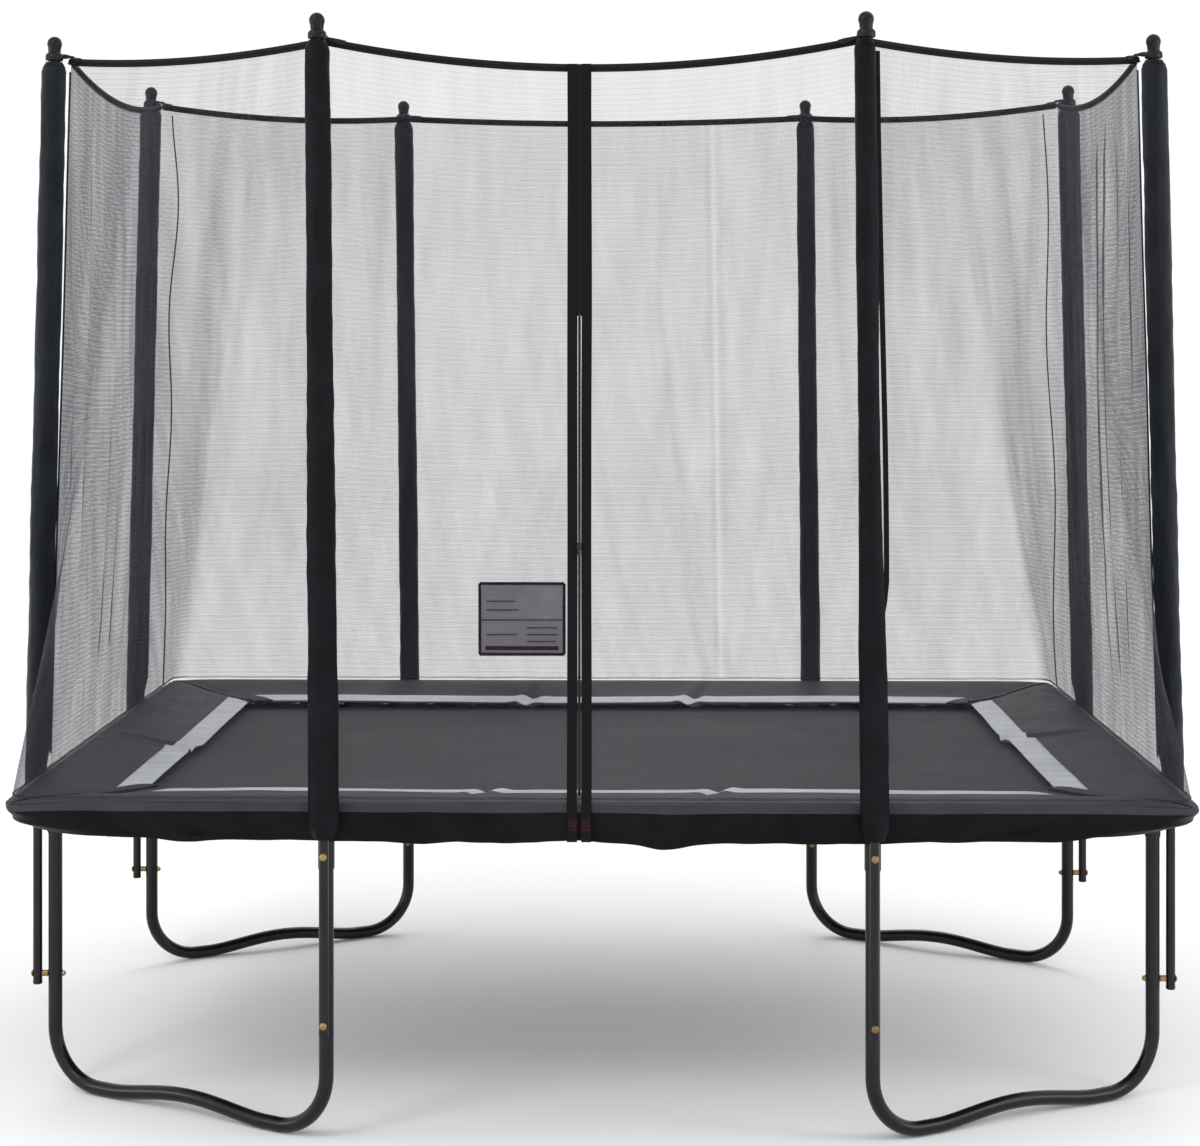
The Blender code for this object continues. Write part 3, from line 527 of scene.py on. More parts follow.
def make_legs():
    for name, sx, sy in (("front_left", -1, -1), ("front_right", 1, -1), ("back_left", -1, 1), ("back_right", 1, 1)):
        flat = TUBE_R
        a = Vector((sx * LEG_X, sy * (HALF_W - TUBE_R), 0))
        b = Vector((sx * (HALF_L - TUBE_R), sy * LEG_Y, 0))
        along, span = (b - a).normalized(), (b - a).length
        r = LEG_BEND
        low = UP * flat

        def half(start, way):
            bend = arc(start + way * r + UP * (r + flat), start + UP * (r + flat), start + way * r + low, 16)
            shaft = [start + UP * (0.806 + (bend[0].z - 0.806) * i / 8) for i in range(8)]
            return [*shaft, *bend]

        first, last = half(a, along), half(b, -along)[::-1]
        s0, s1 = r + LEG_FOOT * 0.75, span - r - LEG_FOOT * 0.75
        middle = []
        for i in range(0, 29):
            t = i / 28
            middle.append(a + along * (s0 + (s1 - s0) * t) + low + UP * (LEG_BOW * math.sin(math.pi * t) ** 1.5))
        parts = Parts()
        parts.tube([*first, *middle, *last], TUBE_R, 28, along.cross(UP).normalized())
        place(parts.make(f"leg_{name}_fine", STEEL), "powder_coat", f"leg_{name}")


def make_poles():
    for i, (name, edge, outward) in enumerate(STATIONS):
        at = pole_axis(edge, outward)
        across = outward.cross(UP)
        levels = [POLE_BOTTOM + (POLE_BEND - 0.05 - POLE_BOTTOM) * k / 8 for k in range(9)] + [POLE_BEND - 0.025, POLE_BEND, POLE_BEND + 0.03]
        levels += [POLE_BEND + 0.05 + (POLE_TOP - POLE_BEND - 0.05) * k / 16 for k in range(17)]
        parts = Parts()
        parts.tube([at(z) for z in levels], POLE_R, 24, across)
        # Pressed-in plug at the foot.
        parts.turned(at(POLE_BOTTOM), UP, [(0.006, -0.0030), (0.0112, -0.0022), (0.0127, 0.0), (0.0130, 0.004), (0.0126, 0.0075)], 24)
        place(parts.make(f"net_pole_{name}_fine", STEEL), "powder_coat", f"net_pole_{name}")


def make_sleeves():
    fuller = [lambda z: 1.04 + 0.22 * (1 - smooth(1.0, 2.6, z))] + [lambda z: 0.93 + 0.31 * (1 - smooth(1.0, 1.7, z))]
    fuller += [lambda z: 1.0 + 0.10 * (1 - smooth(0.9, 2.4, z))] * 6
    for i, (name, edge, outward) in enumerate(STATIONS):
        at = pole_axis(edge, outward)
        across = outward.cross(UP).normalized()
        low, high = 0.786, 2.822
        rows, uvs = [], []
        n, sides = 150, 36
        for k in range(n + 1):
            z = low + (high - low) * k / n
            centre = at(z)
            ends = min(smooth(low, low + 0.030, z), 1.0) * (1 - smooth(high - 0.022, high, z))
            row, uv = [], []
            for s in range(sides):
                angle = 2 * math.pi * s / sides
                c, d = math.cos(angle), math.sin(angle)
                wrinkle = fold(c * 1.3, d * 1.3, z * 5.0, i + 1) * 0.0022
                ring = math.sin(z * 70 + 3 * rough(c, d, z * 2, i)) * 0.0006 * (0.5 + rough(z * 1.4, c, d, i))
                lump = rough(z * 2.2, 0.3, 0.2, i) * 0.0016
                seam = -0.0016 * math.exp(-((angle - 4.2) / 0.10) ** 2)
                radius = 0.0305 + wrinkle + ring + lump + seam
                radius = 0.0145 + (radius - 0.0145) * (0.35 + 0.65 * ends) if ends < 1 else radius
                wide = fuller[i](z)
                out = radius * d * (1.13 if abs(outward.x) > 0.5 else 1.0)
                # Pressed flat against the skirt and pad below the net's foot.
                limit = -0.0190 - 0.016 * smooth(0.875, 0.96, z)
                if out < limit:
                    out = limit
                row.append(centre + across * (radius * c * wide) + outward * out - Vector((0.0035 * smooth(1.0, 1.7, z), 0, 0)) * (i == 1))
                uv.append((0.19 * s / sides, z))
            rows.append(row)
            uvs.append(uv)
        parts = Parts()
        parts.grid(rows, closed_u=True, uv=uvs, cap=True)
        # Points along the sewn seam down the cover, worked out but not used; the seam is the groove in the cover. The
        # drawn hem below is at the top end only.
        seam_rows = []
        for k in range(n + 1):
            z = low + 0.03 + (high - low - 0.055) * k / n
            centre = at(z)
            a = 4.2 + 0.02 * rough(z * 3, 1.0, 0.0, i)
            spot = centre + (across * math.cos(a) + outward * math.sin(a)) * 0.0300
            seam_rows.append(spot)
        # The left and right sleeves get the cover with painted bluish sky light.
        piece = parts.make(f"foam_sleeve_{name}_cover", SLEEVE_SKY_LIT if name.startswith(("left", "right")) else SLEEVE, 60)
        place(piece, "foam_cover", f"foam_sleeve_{name}")
        hem = Parts()
        for z, grow in ((high - 0.018, 0.0012), (high - 0.011, 0.0006)):
            centre = at(z)
            ring = [centre + (across * math.cos(2 * math.pi * s / 40) + outward * math.sin(2 * math.pi * s / 40)) * (0.0262 + grow) for s in range(40)]
            hem.tube(ring, 0.0011, 6, UP, closed=True)
        place(hem.make(f"sleeve_hem_{name}", WEB), "foam_cover")


def make_caps():
    for i, (name, edge, outward) in enumerate(STATIONS):
        at = pole_axis(edge, outward)
        up = (at(BALL_Z) - at(POLE_TOP)).normalized()
        base = at(POLE_TOP) + up * 0.0004
        centre = (at(BALL_Z) - base).length
        profile = [(0.0100, -0.012), (0.0102, 0.0), (0.0190, -0.0090), (0.0232, -0.0080), (0.0240, -0.0055), (0.0240, 0.0050), (0.0230, 0.0080), (0.0192, 0.0116), (0.0166, 0.0145)]
        ball = 0.0203
        centre += BALL_R - ball - 0.0004
        low = -math.acos(0.0168 / ball)
        for s in range(1, 19):
            angle = low + (math.pi / 2 - low) * s / 18
            profile.append((ball * math.cos(angle), centre + ball * math.sin(angle)))
        parts = Parts()
        parts.turned(base, up, profile, 32)
        # Mould line round the ball.
        parts.turned(base, up, [(ball - 0.0006, centre - 0.0006), (ball + 0.0004, centre), (ball - 0.0006, centre + 0.0006)], 32)
        inward = hook_way(i)
        across = inward.cross(UP)
        cord = hook_point(i)
        # Hook: a flat bar that runs over the cord, round its inner side and back under it.
        route = []
        r = CORD_R + 0.0052
        for u in range(9):
            route.append(cord + inward * (-HOOK_REACH + 0.010 + (HOOK_REACH - 0.010) * u / 8) + UP * (CORD_R + 0.0040))
        for s in range(1, 15):
            angle = math.pi / 2 - 1.28 * math.pi * s / 14
            route.append(cord + inward * (r * math.cos(angle)) + UP * (0.0005 + r * math.sin(angle) * 0.95))
        rows, uvs = [], []
        half_w = 0.0066
        for k, point in enumerate(route):
            after = route[min(k + 1, len(route) - 1)] - route[max(k - 1, 0)]
            tangent = after.normalized()
            lift = across.cross(tangent)
            half_t = 0.0021 + 0.0040 * (1 - smooth(4, 9, k))
            row = []
            for a, b in ((-1, -0.6), (-0.86, -1), (0.86, -1), (1, -0.6), (1, 0.6), (0.86, 1), (-0.86, 1), (-1, 0.6)):
                row.append(point + across * (a * half_w * (1.0 if k < 18 else 1 - 0.06 * (k - 17))) + lift * (b * half_t))
            rows.append(row)
            uvs.append([(0.01 * j, k * 0.004) for j in range(8)])
        parts.grid(rows, closed_u=True, uv=uvs, cap=True)
        for way in (1, -1):
            run = [(cord_at(i, t) if way > 0 else cord_at(i - 1, 1 - t)) for t in (0.004, 0.016, 0.028, 0.040)]
            spots = [p + UP * 0.0 for p in run]
            parts.tube(spots, [CORD_R + 0.0030, CORD_R + 0.0034, CORD_R + 0.0034, CORD_R + 0.0022], 12, UP)
        place(parts.make(f"pole_cap_{name}_fine", PLASTIC), "cap_plastic", f"pole_cap_{name}")


def bolt_parts(edge, outward, z):
    """Dome head with a washer on the pole, a spacer, and a hexagon nut behind the leg."""
    axis = Vector((edge.x, edge.y, z))
    parts = Parts()
    across = outward.cross(UP)
    head = POLE_OFF + POLE_R
    parts.turned(axis, outward, [(0.0036, -0.0480), (0.0038, -0.0475), (0.0038, 0.0015)], 16, across)
    parts.turned(axis, outward, [(0.0036, 0.0005), (0.0082, 0.0006), (0.0086, 0.0012), (0.0086, 0.0164), (0.0082, 0.0170), (0.0036, 0.0171)], 20, across)
    parts.turned(axis, outward, [(0.0036, head), (0.0094, head + 0.0003), (0.0094, head + 0.0013), (0.0080, head + 0.0015), (0.0078, head + 0.0026), (0.0060, head + 0.0046), (0.0030, head + 0.0056), (0.0, head + 0.0058)], 24, across)
    parts.turned(axis, outward, [(0.0036, -0.0395), (0.0090, -0.0394), (0.0090, -0.0384), (0.0036, -0.0383)], 20, across)
    hexagon = [axis - outward * 0.0452 + (across * math.cos(math.pi * k / 3) + UP * math.sin(math.pi * k / 3)) * 0.0074 for k in range(6)]
    parts.block(hexagon, outward * 0.0055, 0.0006)
    return parts


def make_bolts():
    for name, edge, outward in STATIONS:
        place(bolt_parts(edge, outward, BOLT_Z).make(f"pole_bolt_{name}_fine", BRASS, 30), "zinc", f"pole_bolt_{name}")
        place(bolt_parts(edge, outward, UPPER_BOLT_Z).make(f"upper_bolt_{name}", BRASS, 30), "zinc")


# ----------------------------------------------------------- mat and springs
MAT_BLEND = 0.80   # how far in from the rail; bend_with_mat works out a point at this distance and does not use it, so the mat does not bend


def side_map(side):
    return {"front": lambda u, v, z: Vector((u, -v, z)), "back": lambda u, v, z: Vector((-u, v, z)), "left": lambda u, v, z: Vector((-v, -u, z)), "right": lambda u, v, z: Vector((v, u, z))}[side]


def bend_with_mat(piece, side, slot, *nodes):
    edge = HALF_W if side in ("front", "back") else HALF_L
    to = side_map(side)
    tuple(to(0, edge - 0.038, MAT_Z))
    tuple(to(0, edge - MAT_BLEND, MAT_Z))
    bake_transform(piece)
    if nodes:
        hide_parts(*nodes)


def make_mat():
    for side in ("front", "back", "left", "right"):
        to = side_map(side)
        edge, other = (HALF_W, HALF_L) if side in ("front", "back") else (HALF_L, HALF_W)
        depth = HALF_W - MAT_INSET
        rows_n, cols_n = 44, 72
        skins = []
        for top in (1,):
            rows, uvs = [], []
            for i in range(rows_n + 1):
                d = MAT_INSET + depth * (i / rows_n) ** 1.15
                reach = other - d
                row, uv = [], []
                for j in range(cols_n + 1):
                    u = -reach + 2 * reach * j / cols_n
                    v = edge - d
                    # The rim lies flat between the rings and dips a hair between springs.
                    near = math.exp(-((d - MAT_INSET) / 0.03) ** 2)
                    spot = to(u, v, 0)
                    z = MAT_Z + 0.0016 * top + 0.0012 * rough(spot.x * 2.1, spot.y * 2.1, 0, 5) + near * 0.0008 * math.sin(u * 37)
                    row.append(Vector((spot.x, spot.y, z)))
                    uv.append((u, v))
                rows.append(row)
                uvs.append(uv)
            skins.append((rows, uvs))
        parts = Parts()
        (top_rows, top_uv), = skins
        parts.grid(top_rows, uv=top_uv)
        mesh = parts.make(f"mat_{side}_sector", MAT, 30)
        bm = bmesh.new()
        bm.from_mesh(mesh.data)
        bmesh.ops.remove_doubles(bm, verts=bm.verts, dist=0.00005)
        bmesh.ops.recalc_face_normals(bm, faces=bm.faces)
        bm.to_mesh(mesh.data)
        bm.free()
        bend_with_mat(mesh, side, "mat_weave", "jump_mat")
        # Folded webbing sewn along the rim with three rows of stitching; the rings it holds are made with the springs.
        web = Parts()
        run = other - MAT_INSET - 0.012
        n = 140
        rings, ring_uvs = [], []
        for k in range(n + 1):
            u = -run + 2 * run * k / n
            lift = 0.0003 * math.sin(k * 1.9)
            rings.append([to(u, edge - MAT_INSET - 0.003 - a, MAT_Z + h + lift) for a, h in ((0.0, -0.0030), (0.0, 0.0036), (0.002, 0.0042), (0.036, 0.0040), (0.038, 0.0034), (0.038, 0.0012))])
            ring_uvs.append([(0.01 * q, u) for q in range(6)])
        web.grid(rings, closed_u=True, uv=ring_uvs, cap=True)
        for row_d in (0.010, 0.022, 0.034):
            n = 260
            spots = [to(-run + 2 * run * k / n, edge - MAT_INSET - row_d, MAT_Z + 0.0039 + 0.0004 * (k % 2)) for k in range(n + 1)]
            ribbon(web, spots, [to(0, 1, 0)] * (n + 1), 0.0012, 0.0005, [UP] * (n + 1))
        hem = web.make(f"mat_{side}_webbing", WEB_DARK, 30)
        bend_with_mat(hem, side, "webbing")


def spring_layout(side):
    if side in ("front", "back"):
        return 17, HALF_L - MAT_INSET - 0.090, HALF_W
    return 11, HALF_W - MAT_INSET - 0.090, HALF_L


def make_springs():
    for side in ("front", "back", "left", "right"):
        count, half_run, edge = spring_layout(side)
        to = side_map(side)
        parts, rings = Parts(), Parts()
        for k in range(count):
            u = -half_run + 2 * half_run * k / (count - 1)
            a = edge - MAT_INSET + 0.016          # at the ring on the mat
            b = edge - 0.046                      # at the rail
            z0, z1 = MAT_Z + 0.001, FRAME_Z - 0.004
            coil_a, coil_b = a + 0.016, b - 0.020
            turns, per = 19, 9
            points = []
            # Hook round the ring.
            for s in range(5):
                angle = math.pi * (1.0 - s / 5)
                points.append(to(u + 0.0, a + 0.004 + 0.005 * math.cos(angle), z0 + 0.005 * math.sin(angle)))
            points.append(to(u, coil_a - 0.004, z0 + 0.002))
            for s in range(turns * per + 1):
                angle = 2 * math.pi * s / per
                t = s / (turns * per)
                grow = min(1.0, 6 * t, 6 * (1 - t)) * 0.0055 + 0.0022
                points.append(to(u + grow * math.sin(angle), coil_a + (coil_b - coil_a) * t, z0 + (z1 - z0) * t + grow * math.cos(angle)))
            points.append(to(u, coil_b + 0.008, z1 + 0.001))
            # Hook that drops into the rail.
            points.append(to(u, b + 0.002, z1 + 0.006))
            points.append(to(u, b + 0.008, z1 + 0.004))
            points.append(to(u, b + 0.010, z1 - 0.003))
            parts.tube(points, 0.0014, 5)
            # Triangular ring in the mat's webbing.
            w = 0.016
            tri = [to(u - w, edge - MAT_INSET - 0.006, MAT_Z + 0.004), to(u + w, edge - MAT_INSET - 0.006, MAT_Z + 0.004), to(u + 0.004, a + 0.002, z0 + 0.0005), to(u - 0.004, a + 0.002, z0 + 0.0005)]
            loop = []
            for q in range(4):
                p, n = tri[q], tri[(q + 1) % 4]
                loop += [p.lerp(n, f) for f in (0.08, 0.36, 0.64, 0.92)]
            rings.tube(loop, 0.0016, 6, UP, closed=True)
        row = parts.make(f"springs_{side}", ZINC, 0)
        bend_with_mat(row, side, "zinc", f"spring_row_{side}")
        held = rings.make(f"mat_rings_{side}", ZINC, 0)
        bend_with_mat(held, side, "zinc")


# ----------------------------------------------------------------------- pads
STRIP_WIDE = 0.082
PAD_JOINTS = {"front": (-0.335, 0.285), "back": (-0.30, 0.245), "left": (0.10,), "right": (0.06,)}


def pad_top(side, u, d):
    """Height of the pad's upper face at u along the side and d in from the outer edge, without the foam's crown."""
    t = d / PAD_WIDE
    z = PAD_TOP - 0.0015 - (PAD_TOP - PAD_IN) * smooth(0.04, 0.80, t)
    z += 0.0030 * fold(u * 2.3, d * 5.0, 0.0, len(side)) * smooth(0.0, 0.15, t)
    z += 0.0022 * math.sin(u * 4.1 + len(side)) * smooth(0.35, 1.0, t)
    other = HALF_L if side in ("front", "back") else HALF_W
    near = math.hypot(other - abs(u), d)
    z -= 0.009 * max(0.0, 1 - near / 0.24) ** 2
    for joint in PAD_JOINTS[side]:
        off = (u - joint - 0.30 * (d - 0.2)) / 0.016
        z += (-0.0130 * math.exp(-off * off) + 0.0080 * math.exp(-((off - 2.0) ** 2)) + 0.0030 * math.exp(-((off + 2.2) ** 2))) * smooth(0.06, 0.4, t)
    return z


def jog(side, u):
    """How far the two halves of a side pad sit apart across their joint."""
    if side == "left":
        return 0.011 - 0.022 * smooth(0.075, 0.125, u)
    if side == "right":
        return -0.010 + 0.020 * smooth(0.035, 0.085, u)
    return 0.004 * math.sin(3.1 * u + 1.0)


def make_pads():
    for index, side in enumerate(("front", "back", "left", "right")):
        to = side_map(side)
        edge, other = (HALF_W, HALF_L) if side in ("front", "back") else (HALF_L, HALF_W)
        long_n = 150 if side in ("front", "back") else 104
        deep_n = 18
        start = -0.0050
        line = PAD_WIDE - STRIP_WIDE
        split = 13
        section = [start + (line - start) * j / split for j in range(split)] + [line + STRIP_WIDE * j / (deep_n - split) for j in range(deep_n - split + 1)]
        verts, faces, spot, tones = [], [], {}, []

        def tone(i, j):
            skip = 3 if side in ("left", "right") else 5
            return int(j >= split and skip <= i < long_n - skip)

        def point(i, j, top):
            key = (i, j, top)
            if key not in spot:
                d = section[j]
                reach = other - d - 0.0012
                u = -reach + 2 * reach * i / long_n
                z = pad_top(side, u, d)
                thick = 0.013 * min(1.0, 0.35 + 4.0 * min(j, deep_n - j) / deep_n)
                z = z if top else z - thick
                d += jog(side, u) * smooth(0.12, 0.24, d)
                spot[key] = len(verts)
                p = to(u, edge - d, z)
                # Round outer corners.
                cx, cy = HALF_L + 0.005 - 0.045, HALF_W + 0.005 - 0.045
                ox, oy = abs(p.x) - cx, abs(p.y) - cy
                if ox > 0 and oy > 0 and math.hypot(ox, oy) > 0.045:
                    pull = 0.045 / math.hypot(ox, oy)
                    p = Vector((math.copysign(cx + ox * pull, p.x), math.copysign(cy + oy * pull, p.y), p.z))
                verts.append(p)
            return spot[key]

        for i in range(long_n):
            for j in range(deep_n):
                faces.append((point(i, j, 1), point(i + 1, j, 1), point(i + 1, j + 1, 1), point(i, j + 1, 1)))
                faces.append((point(i, j, 0), point(i, j + 1, 0), point(i + 1, j + 1, 0), point(i + 1, j, 0)))
                tones += [tone(i, j)] * 2
        for i in range(long_n):
            for j in (0, deep_n):
                faces.append((point(i, j, 1), point(i, j, 0), point(i + 1, j, 0), point(i + 1, j, 1)))
                tones.append(tone(i, deep_n - 1) if j else 0)
        for j in range(deep_n):
            for i in (0, long_n):
                faces.append((point(i, j, 1), point(i, j + 1, 1), point(i, j + 1, 0), point(i, j, 0)))
                tones.append(0)
        piece = build(f"pad_{side}_cover", verts, faces, PAD, None, 50, looks=[PAD, STRIP], face_looks=tones)
        inflate(piece, 0.006)
        sub = piece.modifiers.new("fine", "SUBSURF")
        sub.levels = sub.render_levels = 1
        place(piece, "pad_cover", f"pad_{side}")
        # Seams: stitch lines beside the strip and along the outer edge.
        seam = Parts()
        for d in (PAD_WIDE - STRIP_WIDE - 0.006, 0.022):
            reach = other - PAD_WIDE - 0.035 if d > 0.1 else other - 0.05
            n = int(reach / 0.006)
            for k in range(-n, n + 1):
                u = k * 0.006
                if abs(u) > reach or k % 2:
                    continue
                z = pad_top(side, u, d) + 0.0052
                a, b = to(u - 0.0024, edge - d, z), to(u + 0.0024, edge - d, z)
                ribbon(seam, [a, a.lerp(b, 0.5) + UP * 0.0003, b], [to(0, 1, 0)] * 3, 0.0010, 0.0004, [UP] * 3)
        place(seam.make(f"pad_{side}_stitching", WEB_DARK), "pad_cover")


def make_mitres():
    """Bound seams where two pads meet at each corner."""
    parts = Parts()
    for sx in (-1, 1):
        for sy in (-1, 1):
            spots, ways, outs = [], [], []
            for k in range(25):
                d = 0.008 + (PAD_WIDE - 0.006) * k / 24
                z = max(pad_top("front", sx * (HALF_L - d), d), pad_top("left", sy * (HALF_W - d), d)) - 0.0105 + 0.0030 * smooth(0.0, 0.05, d)
                spots.append(Vector((sx * (HALF_L - d), sy * (HALF_W - d), z)))
                ways.append(Vector((sx, -sy, 0)).normalized())
                outs.append(UP)
            ribbon(parts, spots, ways, 0.020, 0.0130, outs)
    place(parts.make("pad_corner_binding", PAD_EDGE), "pad_cover")


def inflate(piece, cap):
    """Cloth with a little pressure inside, so the foam swells between the cover's edges. A point may move by no more than cap."""
    before = np.empty(len(piece.data.vertices) * 3)
    piece.data.vertices.foreach_get("co", before)
    before = before.reshape(-1, 3)
    modifier = piece.modifiers.new("swell", "CLOTH")
    settings = modifier.settings
    settings.quality = 4
    settings.mass = 0.25
    settings.tension_stiffness = 12
    settings.compression_stiffness = 12
    settings.bending_stiffness = 0.6
    settings.use_pressure = True
    settings.uniform_pressure_force = 3.0
    settings.effector_weights.gravity = 0.0
    modifier.collision_settings.use_collision = False
    modifier.point_cache.frame_start, modifier.point_cache.frame_end = 1, 16
    scene = bpy.context.scene
    for f in range(1, 15):
        scene.frame_set(f)
    graph = bpy.context.evaluated_depsgraph_get()
    mesh = piece.evaluated_get(graph).to_mesh()
    after = np.empty(len(mesh.vertices) * 3)
    mesh.vertices.foreach_get("co", after)
    after = after.reshape(-1, 3)
    piece.evaluated_get(graph).to_mesh_clear()
    piece.modifiers.clear()
    move = after - before
    size = np.linalg.norm(move, axis=1, keepdims=True)
    move *= np.minimum(1.0, cap / np.maximum(size, 1e-9))
    piece.data.vertices.foreach_set("co", (before + move).reshape(-1))
    piece.data.update()
    scene.frame_set(1)


def ring_line(x, y, r, n_side, n_corner):
    """Points round a rectangle with round corners, starting at the middle of the front, with their outward ways."""
    points = []
    corners = ((x - r, -(y - r), -math.pi / 2), (x - r, y - r, 0.0), (-(x - r), y - r, math.pi / 2), (-(x - r), -(y - r), math.pi))
    for c, (cx, cy, start) in enumerate(corners):
        for k in range(n_corner + 1):
            a = start + math.pi / 2 * k / n_corner
            points.append((Vector((cx + r * math.cos(a), cy + r * math.sin(a), 0)), Vector((math.cos(a), math.sin(a), 0))))
        nx, ny, ns = corners[(c + 1) % 4]
        end = points[-1][0]
        nxt = Vector((nx + r * math.cos(ns), ny + r * math.sin(ns), 0))
        for k in range(1, n_side[c % 2]):
            points.append((end.lerp(nxt, k / n_side[c % 2]), points[-1][1]))
    return points


def make_skirt():
    """Black valance sewn to the pads' outer edge. Elastic draws its lower hem in under the corners."""
    top = ring_line(HALF_L + 0.0065, HALF_W + 0.0065, 0.047, (150, 220), 10)
    middle = ring_line(HALF_L + 0.0040, HALF_W + 0.0040, 0.125, (150, 220), 10)
    low = ring_line(HALF_L + 0.0020, HALF_W + 0.0020, 0.26, (150, 220), 10)
    count = len(top)
    levels = 14
    rows, uvs = [], []
    for j in range(levels + 1):
        t = j / levels
        row, uv = [], []
        run = 0.0
        for i in range(count):
            a, na = top[i]
            m, b = middle[i][0], low[i][0]
            corner = max(0.0, 1 - (a - Vector((math.copysign(HALF_L, a.x), math.copysign(HALF_W, a.y), 0))).length / 0.26)
            p = a.lerp(m, smooth(0.20, 1.0, t / 0.62)) if t < 0.62 else m.lerp(b, smooth(0.0, 1.0, (t - 0.62) / 0.38))
            bottom = 0.772 + 0.0065 * fold(a.x * 1.9, a.y * 1.9, 0.5, 3) + 0.0030 * math.sin(a.x * 23 + a.y * 19) * rough(a.x * 2, a.y * 2, 0, 8) + 0.018 * corner
            bottom -= 0.016 * math.exp(-(((a.x - 0.20) / 0.09) ** 2)) * (a.y < -1.0)
            bottom += 0.006 * math.exp(-(((a.x + 0.05) / 0.06) ** 2)) * (a.y < -1.0)
            head = PAD_TOP - 0.006 + 0.0012 * rough(a.x * 6, a.y * 6, 0, 2) - 0.008 * corner * corner
            z = head + (bottom - head) * t
            swell = 0.0030 * fold(a.x * 5.5, a.y * 5.5, z * 9.0, 8) + 0.0022 * math.sin(26 * (a.x + a.y) + 5 * rough(a.x * 2, a.y * 2)) * t
            swell += 0.0015 * math.sin(math.pi * t)
            swell += 0.0042 * fold(a.x * 2.6, a.y * 2.6, z * 16.0, 4) * t + 0.0016 * math.sin(z * 95 + 4 * rough(a.x * 1.7, a.y * 1.7, 0, 1)) * t
            held = min(abs(abs(a.x) - LEG_X) if abs(a.y) > 1.0 else 1.0, abs(abs(a.y) - LEG_Y) if abs(a.x) > 1.4 else 1.0, abs(a.x + 0.05) if a.y < -1.0 else 1.0)
            limit = 0.0022 + 0.0065 * smooth(0.05, 0.14, held)
            out = max(-0.0035 - 0.005 * t, min(limit, swell * (0.35 + 1.1 * smooth(0.04, 0.14, held)))) * smooth(0.0, 0.12, t)
            p = p + na * out
            row.append(Vector((p.x, p.y, z)))
            if i:
                run += (top[i][0] - top[i - 1][0]).length
            uv.append((run, z))
        rows.append(row)
        uvs.append(uv)
    # Turned hem: a second layer a little inside.
    hem_rows = [[p - top[i][1] * 0.0018 + UP * 0.0002 for i, p in enumerate(rows[-1])], [p - top[i][1] * 0.0020 + UP * 0.014 for i, p in enumerate(rows[-1])]]
    top_rows = [[p - top[i][1] * 0.020 + UP * 0.0035 for i, p in enumerate(rows[0])]]
    all_rows = top_rows + rows + hem_rows
    all_uv = [[(u, v + 0.02) for u, v in uvs[0]]] + uvs + [[(u, v - 0.005) for u, v in uvs[-1]], [(u, v - 0.02) for u, v in uvs[-1]]]
    parts = Parts()
    parts.grid(all_rows, closed_u=True, uv=all_uv)
    tones = []
    for j in range(len(all_rows) - 1):
        for i in range(count):
            tones.append(int(j >= 4))
    piece = build("pad_skirt", parts.verts, parts.faces, SKIRT, parts.uvs, 60, looks=[PAD_EDGE, SKIRT], face_looks=tones)
    place(piece, "pad_cover")


# ------------------------------------------------------------------------ net
def net_foot(i, t):
    """Foot of the net between stations i and i + 1."""
    x, y, r = HALF_L - NET_EDGE, HALF_W - NET_EDGE, 0.055
    _, edge_a, out_a = STATIONS[i % 8]
    _, edge_b, out_b = STATIONS[(i + 1) % 8]
    a, b = edge_a - out_a * NET_EDGE, edge_b - out_b * NET_EDGE
    if out_a.dot(out_b) > 0.5:
        return a.lerp(b, t)
    sx, sy = math.copysign(1, edge_a.x + edge_b.x), math.copysign(1, edge_a.y + edge_b.y)
    centre = Vector((sx * (x - r), sy * (y - r), 0))
    long_arm, short_arm = Vector((sx * (x - r), sy * y, 0)), Vector((sx * x, sy * (y - r), 0))
    bend = arc(centre, long_arm, short_arm, 8)
    if abs(out_a.x) > 0.5:
        bend = bend[::-1]
    line = [a, *bend, b]
    lengths = [0.0]
    for p, q in zip(line, line[1:]):
        lengths.append(lengths[-1] + (q - p).length)
    want = t * lengths[-1]
    for k in range(len(line) - 1):
        if want <= lengths[k + 1] or k == len(line) - 2:
            return line[k].lerp(line[k + 1], (want - lengths[k]) / (lengths[k + 1] - lengths[k]))


NET_FOOT_Z = 0.8795


